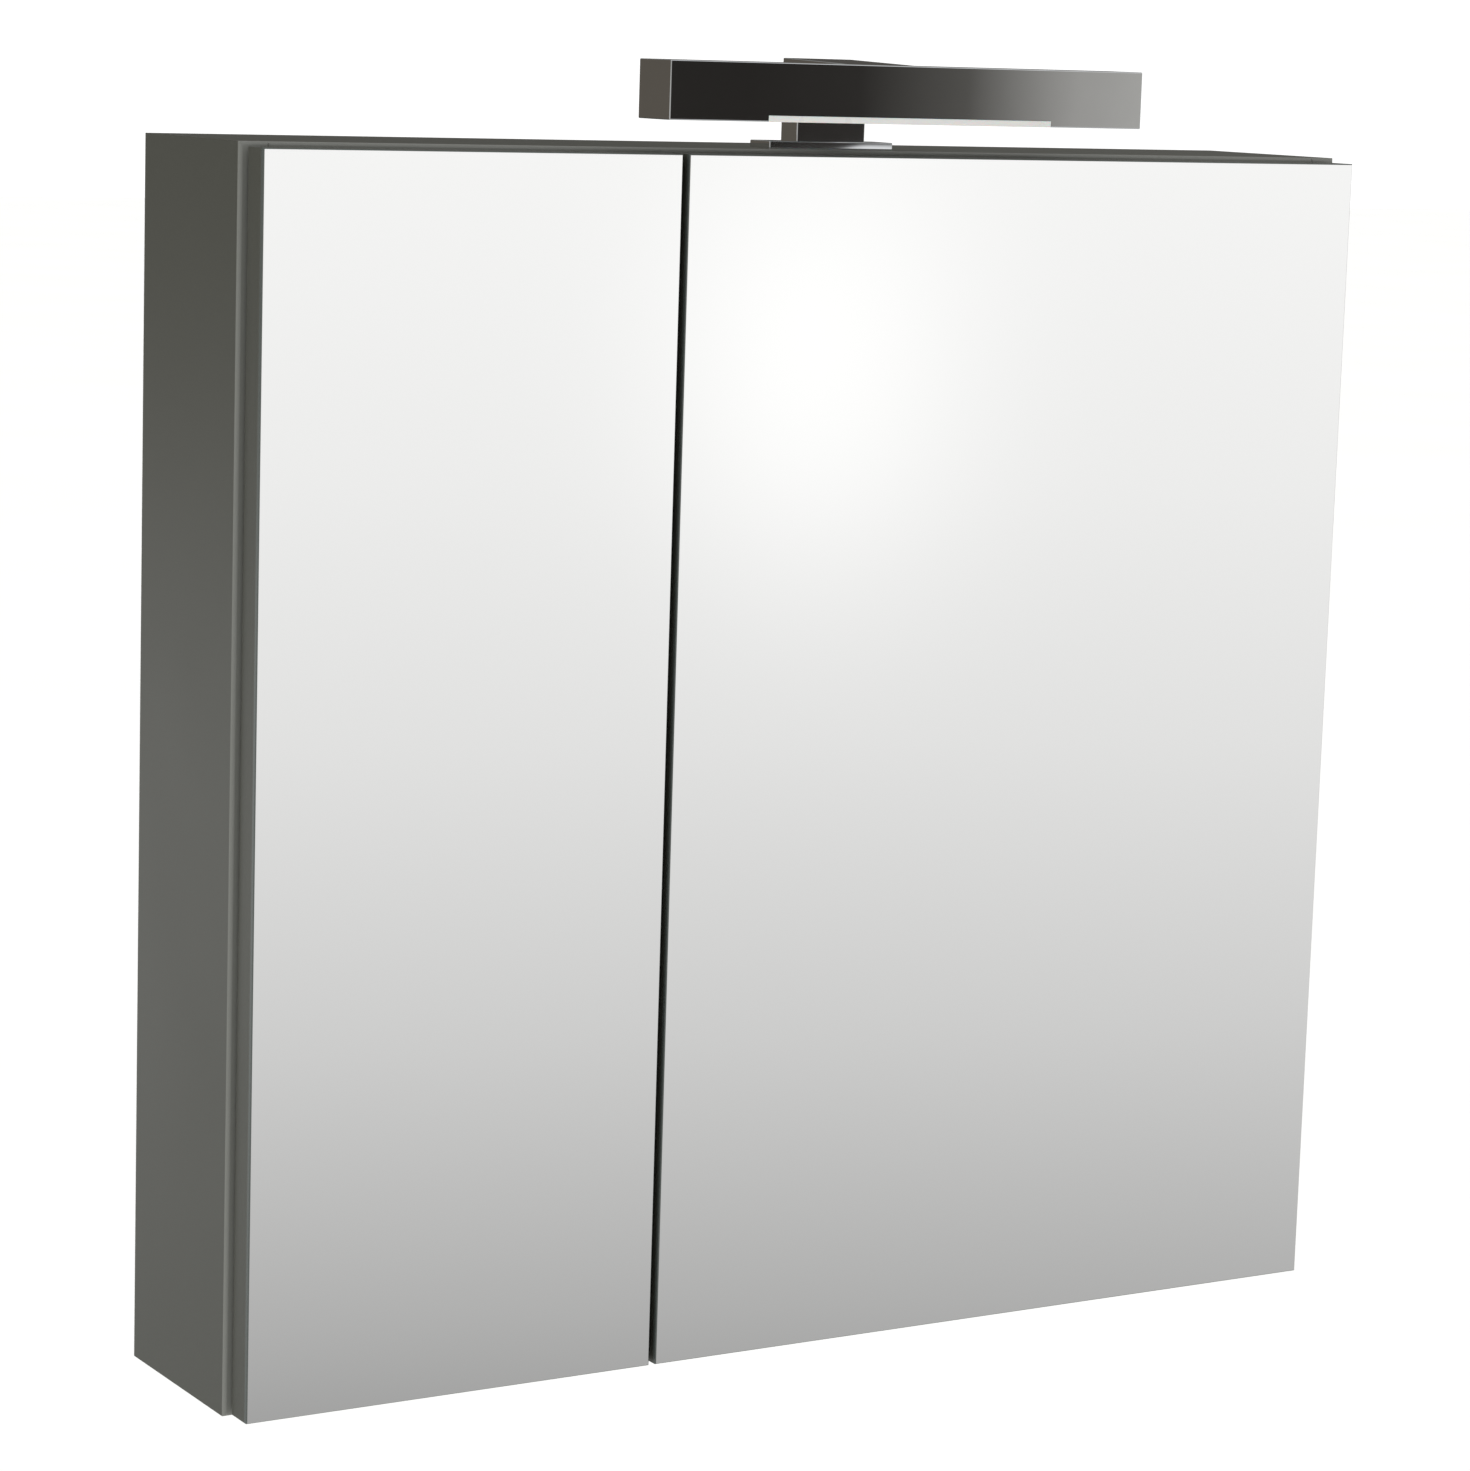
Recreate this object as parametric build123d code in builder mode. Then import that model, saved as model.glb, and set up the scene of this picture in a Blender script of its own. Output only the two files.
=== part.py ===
from build123d import *
from math import cos, radians, sin
import os

# Mirror cabinet for a bathroom wall, in millimetres.
# x runs to the right, y towards the wall, z up.
# The origin lies on the wall, midway between the four screws that hold the wall plates.

os.makedirs("parts", exist_ok=True)

# Carcass
width = 700
height = 670
carcass_depth = 120
board = 16
hang_drop = 60
board_round = 0.8
board_arris = 0.6
edging_round = 2
hole_play = 0.05

half_width = width / 2
inner_x = half_width - board
front_y = -carcass_depth
top_z = hang_drop
bottom_z = hang_drop - height
ceiling_z = top_z - board
floor_z = bottom_z + board
sides = {"left": -1, "right": 1}

# Back sheet, set in a groove so that the hangers and the cable have room behind it
back_inset = 16
back_sheet = 3
groove_depth = 8
groove_play = 0.1
sheet_end_play = 0.5
sheet_reach = groove_depth - sheet_end_play
back_face_y = -back_inset - back_sheet

# Doors: a board with a mirror bonded to its front
reveal_side = 3.3
reveal_top = 2.6
reveal_bottom = 2
door_air = 3
mirror = 3
mirror_arris = 0.6
door_seam = 4
seam_x = -101.4
door_back_y = front_y - door_air
door_front_y = door_back_y - board
mirror_front_y = door_front_y - mirror
door_top_z = top_z - reveal_top
door_bottom_z = bottom_z + reveal_bottom
partition_low_x = seam_x - board / 2
partition_high_x = seam_x + board / 2

# Finger grip, a bevel routed into the back of each door's bottom edge near the seam
grip_length = 90
grip_from_seam = 30
grip_bevel = 12

# Soft bumpers between the doors and the carcass
bumper_radius = 4
bumper_round = 1
bumper_play = 0.1
bumper_height = door_air - bumper_play

# Panel joints: two dowels and one cam fitting at each end of the top and bottom panels
dowel_radius = 4
dowel_length = 30
dowel_in_side = 12
dowel_in_flat = 9
dowel_y = (-32, -100)
cam_y = -66
cam_radius = 7.5
cam_depth = 12.5
cam_from_end = 26
cam_x = inner_x - cam_from_end
cam_bolt_radius = 2.5
cam_bolt_in_side = 10
cam_bolt_reach = 25
cam_bolt_head_radius = 3.4
cam_bolt_head = 3
cam_bolt_hole = 4
disc_play = 0.1
disc_channel = 3.7
disc_channel_start = cam_x - 2
disc_recess_length = 7
disc_recess_width = 1.4
disc_recess_depth = 3
panel_middles = (top_z - board / 2, bottom_z + board / 2)

# Glass shelves on pins, with spare rows of holes above and below
glass = 5
shelf_play = 1
shelf_front_y = front_y + 8
shelf_back_y = back_face_y - 1
shelf_corner = 3
shelf_arris = 0.5
shelf_heights = {"left": {"upper": 412, "lower": 206}, "right": {"upper": 404, "lower": 190}}
pin_radius = 2.5
pin_in_board = 7
pin_hole_depth = 7.5
pin_tongue = 7
pin_tongue_width = 8
pin_tongue_height = 3.5
pin_y = (-36, -96)
pin_pitch = 32
shelf_walls = {"left": (-inner_x, partition_low_x), "right": (partition_high_x, inner_x)}

# Hinges: a cup in the door, a pin near the door's edge, and a cranked arm on a mounting plate
hinge_heights = (top_z - 95, bottom_z + 95)
pivot_from_edge = 7
pivot_in_door = 9
pivot_y = door_back_y - pivot_in_door
cup_radius = 17.5
cup_margin = 3
cup_from_edge = cup_margin + cup_radius
cup_depth = 12.5
cup_floor = 0.8
cup_wall = 0.9
cup_flange = 1.2
cup_bore_play = 0.1
wing_offset = 6
wing_width = 13
wing_height = 60
wing_round = 6.2
cup_screw_pitch = 48
cup_to_pivot = cup_from_edge - pivot_from_edge
lug_edge = 3.4
knuckle_slot = 2.7
knuckle_half = 4.9
hinge_pin_radius = 1.25
hinge_pin_half = 9.5
pin_seat_play = 0.02
pin_run_play = 0.05
knuckle_radius = 2.4
arm_thickness = 3
arm_height = 9
arm_crank = 13
arm_bend = 2.5
arm_end_y = front_y + 52
arm_face = pivot_from_edge + reveal_side + arm_crank + arm_thickness / 2
arm_seat = arm_face - arm_thickness
pad_height = 13
pad_start_y = front_y + 22
plate_start_y = front_y + 8
plate_end_y = front_y + 56
plate_height = 13
plate_wing = 3
plate_wing_y = (front_y + 29, front_y + 43)
plate_wing_height = 50
plate_screw_pitch = 32
plate_screw_y = front_y + 36
arm_screw_y = front_y + 46

# Adjustable hangers in the top corners, each with a hook that drops over a wall plate
hanger_thickness = 18
hanger_depth = 40
hanger_top_z = ceiling_z - 3
hanger_height = 62
hanger_round = 2
peg_radius = 5
peg_length = 10
peg_heights = (-8, 28)
hook_x = inner_x - hanger_thickness / 2
hook_thickness = 3
hook_slot = 4
hook_low_z = 22
hook_top_z = 34
hook_rest_z = 26
hook_tip_z = 19.5
hook_start_y = -51
hook_slot_end_y = -52
finger_back_y = -3.2
finger_front_y = -7.2
pass_slot = 8
pass_low_z = 16
pass_high_z = 40
hanger_screw_heights = (30, -10)
wall_plate_sheet = 2
wall_plate_width = 50
wall_plate_near_x = inner_x - 1
wall_plate_low_z = -22
wall_plate_step_z = 18
lip_stand_off = 10
wall_hole_radius = 2.75
wall_hole_heights = (-10, 10)

# Lamp: a chrome bar with an opal strip, on a neck that stands on a base plate
lamp_x = 15
lamp_length = 300
lamp_depth = 33
lamp_height = 31
lamp_rise = 16
lamp_wall = 1.6
lamp_round = 0.6
lamp_back_y = front_y - 28
lamp_front_y = lamp_back_y - lamp_depth
lamp_low_z = top_z + lamp_rise
lamp_high_z = lamp_low_z + lamp_height
cap_thickness = 2
cap_plug = 3
plug_play = 0.15
diffuser_length = 180
diffuser_depth = 22
diffuser_height = 3.4
diffuser_play = 0.1
web_z = lamp_low_z + 8.6
web_depth = 18
web_short = 8
led_board_length = 172
led_board_depth = 12
led_board_sheet = 1.6
led_count = 18
led_length = 3.5
led_width = 2.8
led_height = 0.8
base_width = 80
base_depth = 21
base_sheet = 4
base_front_y = front_y + 20
base_back_y = base_front_y + base_depth
neck_width = 44
post_front_y = base_front_y + 1
post_depth = 17
post_back_y = post_front_y + post_depth
neck_crown = 2
neck_top_z = lamp_high_z + neck_crown
neck_arm_height = 16
neck_round = 0.5
cable_channel = 4
cable_y = (post_front_y + post_back_y) / 2
cable_z = neck_top_z - neck_arm_height / 2
neck_screw_offset = 14
base_screw_offset = 31
base_screw_y = (base_front_y + base_back_y) / 2

# Driver box under the top panel, with the lamp's rocker switch in its cover
box_width = 130
box_wall = 2
box_front_y = front_y + 16
box_back_y = -24
box_low_z = ceiling_z - 30
box_low_x = lamp_x - box_width / 2
box_high_x = lamp_x + box_width / 2
box_middle_z = (box_low_z + ceiling_z) / 2
box_round = 2
cover_sheet = 2
cover_front_y = box_front_y - cover_sheet
boss_width = 8
boss_depth = 12
cover_screw_inset = 4
box_screw_y = -40
box_screw_inset = 14
rocker_x = lamp_x + 37
rocker_width = 18.8
rocker_half = 11.5
rocker_opening_width = 20
rocker_opening_height = 25
rocker_tilt = 7
rocker_front = 6
rocker_crest = 7.4
rocker_skirt = 2.5
rocker_hub = 3
axle_y = cover_front_y + 5
axle_radius = 1.5
lug_sheet = 2
lug_half = 4
lug_margin = 0.5
lug_gap = rocker_opening_width / 2 + lug_margin
lug_end_y = axle_y + 4
grommet_bore = 5
box_cable_hole = 5.5
grommet_neck = 8
grommet_flange = 10
grommet_lip = 3
post_height = 2
post_radius = 2.5
post_inset = 4
driver_board_sheet = 1.6
board_low_x = box_low_x + 12
board_high_x = board_low_x + 74
board_front_y = box_front_y + 16
board_back_y = box_back_y - 20
board_low_z = box_low_z + box_wall + post_height
board_top_z = board_low_z + driver_board_sheet
transformer = (24, 22, 15)
transformer_x = board_low_x + 30
capacitor_radius = 4
capacitor_height = 12
capacitor_x = (board_low_x + 54, board_low_x + 64)
capacitor_y = board_front_y + 12
terminal_size = (20, 14, 11)
terminal_low_x = board_high_x + 6
terminal_steps = (-6, 0, 6)
terminal_hole = 1.6

# Screws: head radius, head height, shank radius, length under the head
hinge_screw = (3.2, 1.5, 1.6, 11)
plate_screw = (4.2, 2.2, 2.4, 14)
arm_screw = (4, 2.4, 2.4, 8)
hanger_screw = (4, 1.5, 2.5, 8)
neck_screw = (3, 2, 1.9, 10)
base_screw = (3.5, 2, 2, 14)
cover_screw = (2.4, 1.6, 1.2, 9)
box_screw = (3.2, 1.6, 1.7, 12)


def block(corner, opposite, mode=Mode.ADD):
    """Put a rectangular block between two opposite corners into the open part."""
    spans = [abs(b - a) for a, b in zip(corner, opposite)]
    middle = Vector(*[(a + b) / 2 for a, b in zip(corner, opposite)])
    with Locations(middle):
        Box(*spans, mode=mode)


def rod(start, end, radius, mode=Mode.ADD):
    """Put a round bar from one point to another into the open part."""
    line = Vector(*end) - Vector(*start)
    with Locations(Plane(origin=start, z_dir=line)):
        Cylinder(radius, line.length, align=(Align.CENTER, Align.CENTER, Align.MIN), mode=mode)


def drill(mouth, end, radius):
    """Drill a round hole from its mouth to its end into the open part."""
    rod(mouth, end, radius, mode=Mode.SUBTRACT)


def cross_recess(crown, inward, sizes):
    """Cut a cross recess into the head of a screw in the open part."""
    head_radius, head_height = sizes[:2]
    recess_length = head_radius * 1.2
    recess_width = head_radius * 0.3
    recess_depth = head_height * 1.2
    with Locations(Plane(origin=crown, z_dir=inward)):
        Box(recess_length, recess_width, recess_depth, mode=Mode.SUBTRACT)
        Box(recess_width, recess_length, recess_depth, mode=Mode.SUBTRACT)


def screw(seat, inward, sizes):
    """Put a pan-head screw with a cross recess into the open part, its head standing on the seat."""
    head_radius, head_height, shank_radius, length = sizes
    way = Vector(*inward)
    crown = Vector(*seat) - way * head_height
    rod(crown, seat, head_radius)
    rod(seat, Vector(*seat) + way * length, shank_radius)
    cross_recess(crown, way, sizes)


def sunk_screw(face, inward, sizes, play=0.0, mode=Mode.ADD):
    """Put a countersunk screw into the open part, its head flush with a face, or cut the hole for one."""
    head_radius, head_height, shank_radius, length = sizes
    from_face = (Align.CENTER, Align.CENTER, Align.MIN)
    with Locations(Plane(origin=face, z_dir=inward)):
        Cone(head_radius + play, shank_radius + play, head_height, align=from_face, mode=mode)
        Cylinder(shank_radius + play, length + play, align=from_face, mode=mode)


def pilot(seat, inward, sizes, play=hole_play):
    """Drill the hole that a screw's shank runs in."""
    shank_radius, length = sizes[2:]
    drill(seat, Vector(*seat) + Vector(*inward) * (length + play), shank_radius + play)


def save(piece, name):
    """Label a finished piece and write it to its own file."""
    piece.part.label = name
    export_step(piece.part, f"parts/{name}.step")


def shelf_level(name, level):
    """Height of a shelf's underside."""
    return floor_z + shelf_heights[name][level]


def shelf_holes(name, wall_x, into):
    """Drill the rows of pin holes for one compartment's shelves into a wall at wall_x."""
    for level in shelf_heights[name]:
        for step in (-pin_pitch, 0, pin_pitch):
            for y in pin_y:
                z = shelf_level(name, level) - pin_radius + step
                drill((wall_x, y, z), (wall_x + into * pin_hole_depth, y, z), pin_radius + hole_play)


# Side panels, full height, with the rounded edging of 2 mm along their front
for name, side in sides.items():
    wall_x = side * inner_x
    with BuildPart() as side_panel:
        block((wall_x, front_y, bottom_z), (side * half_width, 0, top_z))
        front = side_panel.faces().sort_by(Axis.Y)[0].edges().sort_by(Axis.X, reverse=side > 0)
        chamfer(front[-1], board_arris)
        front = side_panel.faces().sort_by(Axis.Y)[0].edges().sort_by(Axis.X, reverse=side > 0)
        fillet(front[:-1], edging_round)
        block(
            (wall_x, -back_inset + groove_play, floor_z - groove_depth),
            (wall_x + side * groove_depth, back_face_y - groove_play, ceiling_z + groove_depth),
            mode=Mode.SUBTRACT,
        )
        for z in panel_middles:
            for y in dowel_y:
                end = (wall_x + side * (dowel_in_side + hole_play), y, z)
                drill((wall_x, y, z), end, dowel_radius + hole_play)
            end = (wall_x + side * (cam_bolt_in_side + hole_play), cam_y, z)
            drill((wall_x, cam_y, z), end, cam_bolt_radius + hole_play)
        for z in hinge_heights:
            for half in (-plate_screw_pitch / 2, plate_screw_pitch / 2):
                seat = (wall_x - side * plate_wing, plate_screw_y, z + half)
                pilot(seat, (side, 0, 0), plate_screw)
        for z in peg_heights:
            end = (wall_x + side * (peg_length + hole_play), -hanger_depth, z)
            drill((wall_x, -hanger_depth, z), end, peg_radius + hole_play)
        shelf_holes(name, wall_x, side)
    save(side_panel, f"{name}_side")

# Top and bottom panels, set between the sides
for name, face_z, up in (("top_panel", ceiling_z, 1), ("bottom_panel", floor_z, -1)):
    middle_z = face_z + up * board / 2
    with BuildPart() as flat_panel:
        block((-inner_x, front_y, face_z), (inner_x, 0, face_z + up * board))
        front = flat_panel.faces().sort_by(Axis.Y)[0].edges().sort_by(Axis.Z, reverse=up < 0)
        chamfer(front[:-1], board_arris)
        front = flat_panel.faces().sort_by(Axis.Y)[0].edges().sort_by(Axis.Z, reverse=up < 0)
        fillet(front[-1], edging_round)
        block(
            (-inner_x, -back_inset + groove_play, face_z),
            (inner_x, back_face_y - groove_play, face_z + up * groove_depth),
            mode=Mode.SUBTRACT,
        )
        for side in sides.values():
            for y in dowel_y:
                depth = dowel_length - dowel_in_side + hole_play
                end = (side * (inner_x - depth), y, middle_z)
                drill((side * inner_x, y, middle_z), end, dowel_radius + hole_play)
            drill((side * inner_x, cam_y, middle_z), (side * cam_x, cam_y, middle_z), cam_bolt_hole)
            drill((side * cam_x, cam_y, face_z), (side * cam_x, cam_y, face_z + up * cam_depth), cam_radius)
        for y in dowel_y:
            end = (seam_x, y, face_z + up * (dowel_in_flat + hole_play))
            drill((seam_x, y, face_z), end, dowel_radius + hole_play)
        if up > 0:
            drill((lamp_x, cable_y, face_z), (lamp_x, cable_y, top_z), cable_channel)
            for side in sides.values():
                seat = (lamp_x + side * base_screw_offset, base_screw_y, top_z + base_sheet)
                pilot(seat, (0, 0, -1), base_screw)
                box_x = lamp_x + side * (box_width / 2 - box_screw_inset)
                pilot((box_x, box_screw_y, ceiling_z - box_wall), (0, 0, 1), box_screw)
    save(flat_panel, name)

# Partition behind the seam between the doors
with BuildPart() as partition:
    block((partition_low_x, front_y, floor_z), (partition_high_x, back_face_y - groove_play, ceiling_z))
    fillet(partition.faces().sort_by(Axis.Y)[0].edges().filter_by(Axis.Z), board_round)
    for y in dowel_y:
        depth = dowel_length - dowel_in_flat + hole_play
        drill((seam_x, y, ceiling_z), (seam_x, y, ceiling_z - depth), dowel_radius + hole_play)
        drill((seam_x, y, floor_z), (seam_x, y, floor_z + depth), dowel_radius + hole_play)
    shelf_holes("left", partition_low_x, 1)
    shelf_holes("right", partition_high_x, -1)
save(partition, "partition")

# Back sheet with a slot for each hook and a hole for the cable's grommet
with BuildPart() as back_panel:
    block(
        (-inner_x - sheet_reach, back_face_y, floor_z - sheet_reach),
        (inner_x + sheet_reach, -back_inset, ceiling_z + sheet_reach),
    )
    for side in sides.values():
        block(
            (side * hook_x - pass_slot / 2, back_face_y, pass_low_z),
            (side * hook_x + pass_slot / 2, -back_inset, pass_high_z),
            mode=Mode.SUBTRACT,
        )
    drill((lamp_x, back_face_y, box_middle_z), (lamp_x, -back_inset, box_middle_z), grommet_neck + hole_play)
save(back_panel, "back_panel")

# Wooden dowels of the panel joints
with BuildPart() as panel_dowels:
    for y in dowel_y:
        for z in panel_middles:
            for side in sides.values():
                start = side * (inner_x + dowel_in_side)
                rod((start, y, z), (start - side * dowel_length, y, z), dowel_radius)
        high_z = ceiling_z + dowel_in_flat
        rod((seam_x, y, high_z), (seam_x, y, high_z - dowel_length), dowel_radius)
        low_z = floor_z - dowel_in_flat
        rod((seam_x, y, low_z), (seam_x, y, low_z + dowel_length), dowel_radius)
save(panel_dowels, "panel_dowels")

# Cam bolts, screwed into the sides, and the discs that draw them in
with BuildPart() as cam_bolts:
    for side in sides.values():
        for z in panel_middles:
            neck_x = side * (inner_x - cam_bolt_reach + cam_bolt_head)
            rod((side * (inner_x + cam_bolt_in_side), cam_y, z), (neck_x, cam_y, z), cam_bolt_radius)
            rod((neck_x, cam_y, z), (neck_x - side * cam_bolt_head, cam_y, z), cam_bolt_head_radius)
save(cam_bolts, "cam_bolts")

with BuildPart() as cam_discs:
    for side in sides.values():
        for face_z, up in ((ceiling_z, 1), (floor_z, -1)):
            centre = (side * cam_x, cam_y, face_z)
            rod(centre, (side * cam_x, cam_y, face_z + up * (cam_depth - disc_play)), cam_radius - disc_play)
            middle_z = face_z + up * board / 2
            block(
                (side * disc_channel_start, cam_y - disc_channel, middle_z - disc_channel),
                (side * (cam_x + cam_radius), cam_y + disc_channel, middle_z + disc_channel),
                mode=Mode.SUBTRACT,
            )
            with Locations(centre):
                Box(disc_recess_length, disc_recess_width, disc_recess_depth, mode=Mode.SUBTRACT)
                Box(disc_recess_width, disc_recess_length, disc_recess_depth, mode=Mode.SUBTRACT)
save(cam_discs, "cam_discs")

# Glass shelves with polished edges, and the pins that carry them
for name, (low_x, high_x) in shelf_walls.items():
    for level in shelf_heights[name]:
        z = shelf_level(name, level)
        with BuildPart() as shelf:
            block((low_x + shelf_play, shelf_front_y, z), (high_x - shelf_play, shelf_back_y, z + glass))
            fillet(shelf.edges().filter_by(Axis.Z), shelf_corner)
            chamfer(shelf.faces().sort_by(Axis.Z)[-1].edges(), shelf_arris)
            chamfer(shelf.faces().sort_by(Axis.Z)[0].edges(), shelf_arris)
        save(shelf, f"{name}_{level}_shelf")
    with BuildPart() as shelf_pins:
        for level in shelf_heights[name]:
            z = shelf_level(name, level)
            for wall_x, inward in ((low_x, 1), (high_x, -1)):
                for y in pin_y:
                    axis_z = z - pin_radius
                    rod((wall_x - inward * pin_in_board, y, axis_z), (wall_x, y, axis_z), pin_radius)
                    block(
                        (wall_x, y - pin_tongue_width / 2, z - pin_tongue_height),
                        (wall_x + inward * pin_tongue, y + pin_tongue_width / 2, z),
                    )
    save(shelf_pins, f"{name}_shelf_pins")

# Hangers: housing with two pegs in the side, hook, and the wall plate it drops over
for name, side in sides.items():
    wall_x = side * inner_x
    face_x = wall_x - side * hanger_thickness
    housing_front_y = back_face_y - hanger_depth
    with BuildPart() as hanger:
        block(
            (wall_x, housing_front_y, hanger_top_z - hanger_height),
            (face_x, back_face_y, hanger_top_z),
        )
        fillet(hanger.edges().filter_by(Axis.X).group_by(Axis.Y)[0], hanger_round)
        for z in peg_heights:
            rod((wall_x, -hanger_depth, z), (wall_x + side * peg_length, -hanger_depth, z), peg_radius)
        block(
            (side * hook_x - hook_slot / 2, hook_slot_end_y, pass_low_z),
            (side * hook_x + hook_slot / 2, back_face_y, pass_high_z),
            mode=Mode.SUBTRACT,
        )
        for z in hanger_screw_heights:
            pilot((side * hook_x, housing_front_y, z), (0, 1, 0), hanger_screw)
    save(hanger, f"{name}_hanger")

    with BuildPart() as hanger_hook:
        with BuildSketch(Plane.YZ.offset(side * hook_x)):
            with BuildLine():
                Polyline(
                    (hook_start_y, hook_low_z),
                    (back_face_y, hook_low_z),
                    (back_face_y, hook_rest_z),
                    (finger_front_y, hook_rest_z),
                    (finger_front_y, hook_tip_z),
                    (finger_back_y, hook_tip_z),
                    (finger_back_y, hook_top_z),
                    (hook_start_y, hook_top_z),
                    close=True,
                )
            make_face()
        extrude(amount=hook_thickness / 2, both=True)
    save(hanger_hook, f"{name}_hanger_hook")

    near_x = side * wall_plate_near_x
    far_x = near_x - side * wall_plate_width
    hole_x = (near_x + far_x) / 2
    with BuildPart() as wall_plate:
        block((near_x, -wall_plate_sheet, wall_plate_low_z), (far_x, 0, wall_plate_step_z))
        step_low_z = wall_plate_step_z - wall_plate_sheet
        block((near_x, -lip_stand_off, step_low_z), (far_x, 0, wall_plate_step_z))
        block(
            (near_x, -lip_stand_off, step_low_z),
            (far_x, -lip_stand_off + wall_plate_sheet, hook_rest_z),
        )
        for z in wall_hole_heights:
            drill((hole_x, -wall_plate_sheet, z), (hole_x, 0, z), wall_hole_radius)
    save(wall_plate, f"{name}_wall_plate")

with BuildPart() as hanger_screws:
    for side in sides.values():
        for z in hanger_screw_heights:
            screw((side * hook_x, back_face_y - hanger_depth, z), (0, 1, 0), hanger_screw)
save(hanger_screws, "hanger_screws")

# Doors, each with its mirror, bumpers and the moving half of its hinges
for name, side in sides.items():
    edge_x = side * (half_width - reveal_side)
    free_x = seam_x + side * door_seam / 2
    cup_x = edge_x - side * cup_from_edge
    pivot_x = edge_x - side * pivot_from_edge
    wing_x = cup_x - side * wing_offset
    screw_heights = [z + half for z in hinge_heights for half in (-cup_screw_pitch / 2, cup_screw_pitch / 2)]
    flange_y = door_back_y + cup_flange

    with BuildPart() as door_panel:
        block((edge_x, door_back_y, door_bottom_z), (free_x, door_front_y, door_top_z))
        fillet(door_panel.faces().sort_by(Axis.Y)[-1].edges(), board_round)
        for z in hinge_heights:
            bore_end = (cup_x, door_back_y - cup_depth - cup_bore_play, z)
            drill((cup_x, door_back_y, z), bore_end, cup_radius + cup_bore_play)
        for z in screw_heights:
            pilot((wing_x, flange_y, z), (0, -1, 0), hinge_screw)
        grip_x = free_x + side * grip_from_seam
        with BuildSketch(Plane.YZ.offset(grip_x)):
            with BuildLine():
                Polyline(
                    (door_back_y, door_bottom_z),
                    (door_back_y - grip_bevel, door_bottom_z),
                    (door_back_y, door_bottom_z + grip_bevel),
                    close=True,
                )
            make_face()
        extrude(amount=side * grip_length, mode=Mode.SUBTRACT)
    save(door_panel, f"{name}_door_panel")

    with BuildPart() as door_mirror:
        block((edge_x, door_front_y, door_bottom_z), (free_x, mirror_front_y, door_top_z))
        chamfer(door_mirror.faces().sort_by(Axis.Y)[0].edges(), mirror_arris)
    save(door_mirror, f"{name}_mirror")

    from_lug = (Align.MAX, Align.CENTER)
    with BuildPart() as hinge_cups:
        for z in hinge_heights:
            seat = Plane(origin=(cup_x, door_back_y, z), x_dir=(-side, 0, 0), z_dir=(0, -1, 0))
            with BuildSketch(seat):
                Circle(cup_radius)
            extrude(amount=cup_depth)
            with BuildSketch(seat):
                Circle(cup_radius)
                with Locations((wing_offset, 0)):
                    RectangleRounded(wing_width, wing_height, wing_round)
            extrude(amount=-cup_flange)
            with BuildSketch(seat.offset(-cup_flange)):
                Circle(cup_radius - cup_wall)
                with Locations((lug_edge - cup_to_pivot, 0)):
                    Rectangle(cup_radius * 2, cup_radius * 2, align=from_lug, mode=Mode.SUBTRACT)
                    Rectangle(lug_edge + knuckle_slot, knuckle_half * 2, align=from_lug)
            extrude(amount=cup_flange + cup_depth - cup_floor, mode=Mode.SUBTRACT)
            pin_hole_half = hinge_pin_half + pin_seat_play
            drill(
                (pivot_x, pivot_y, z - pin_hole_half),
                (pivot_x, pivot_y, z + pin_hole_half),
                hinge_pin_radius + pin_seat_play,
            )
            for half in (-cup_screw_pitch / 2, cup_screw_pitch / 2):
                pilot((wing_x, flange_y, z + half), (0, -1, 0), hinge_screw)
    save(hinge_cups, f"{name}_hinge_cups")

    with BuildPart() as hinge_pins:
        for z in hinge_heights:
            low = (pivot_x, pivot_y, z - hinge_pin_half)
            rod(low, (pivot_x, pivot_y, z + hinge_pin_half), hinge_pin_radius)
    save(hinge_pins, f"{name}_hinge_pins")

    with BuildPart() as hinge_cup_screws:
        for z in screw_heights:
            screw((wing_x, flange_y, z), (0, -1, 0), hinge_screw)
    save(hinge_cup_screws, f"{name}_hinge_cup_screws")

    bumper_x = free_x + side * grip_from_seam / 2
    with BuildPart() as door_bumpers:
        for z in panel_middles:
            rod((bumper_x, door_back_y, z), (bumper_x, door_back_y + bumper_height, z), bumper_radius)
        fillet(door_bumpers.edges().group_by(Axis.Y)[-1], bumper_round)
    save(door_bumpers, f"{name}_door_bumpers")

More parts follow.
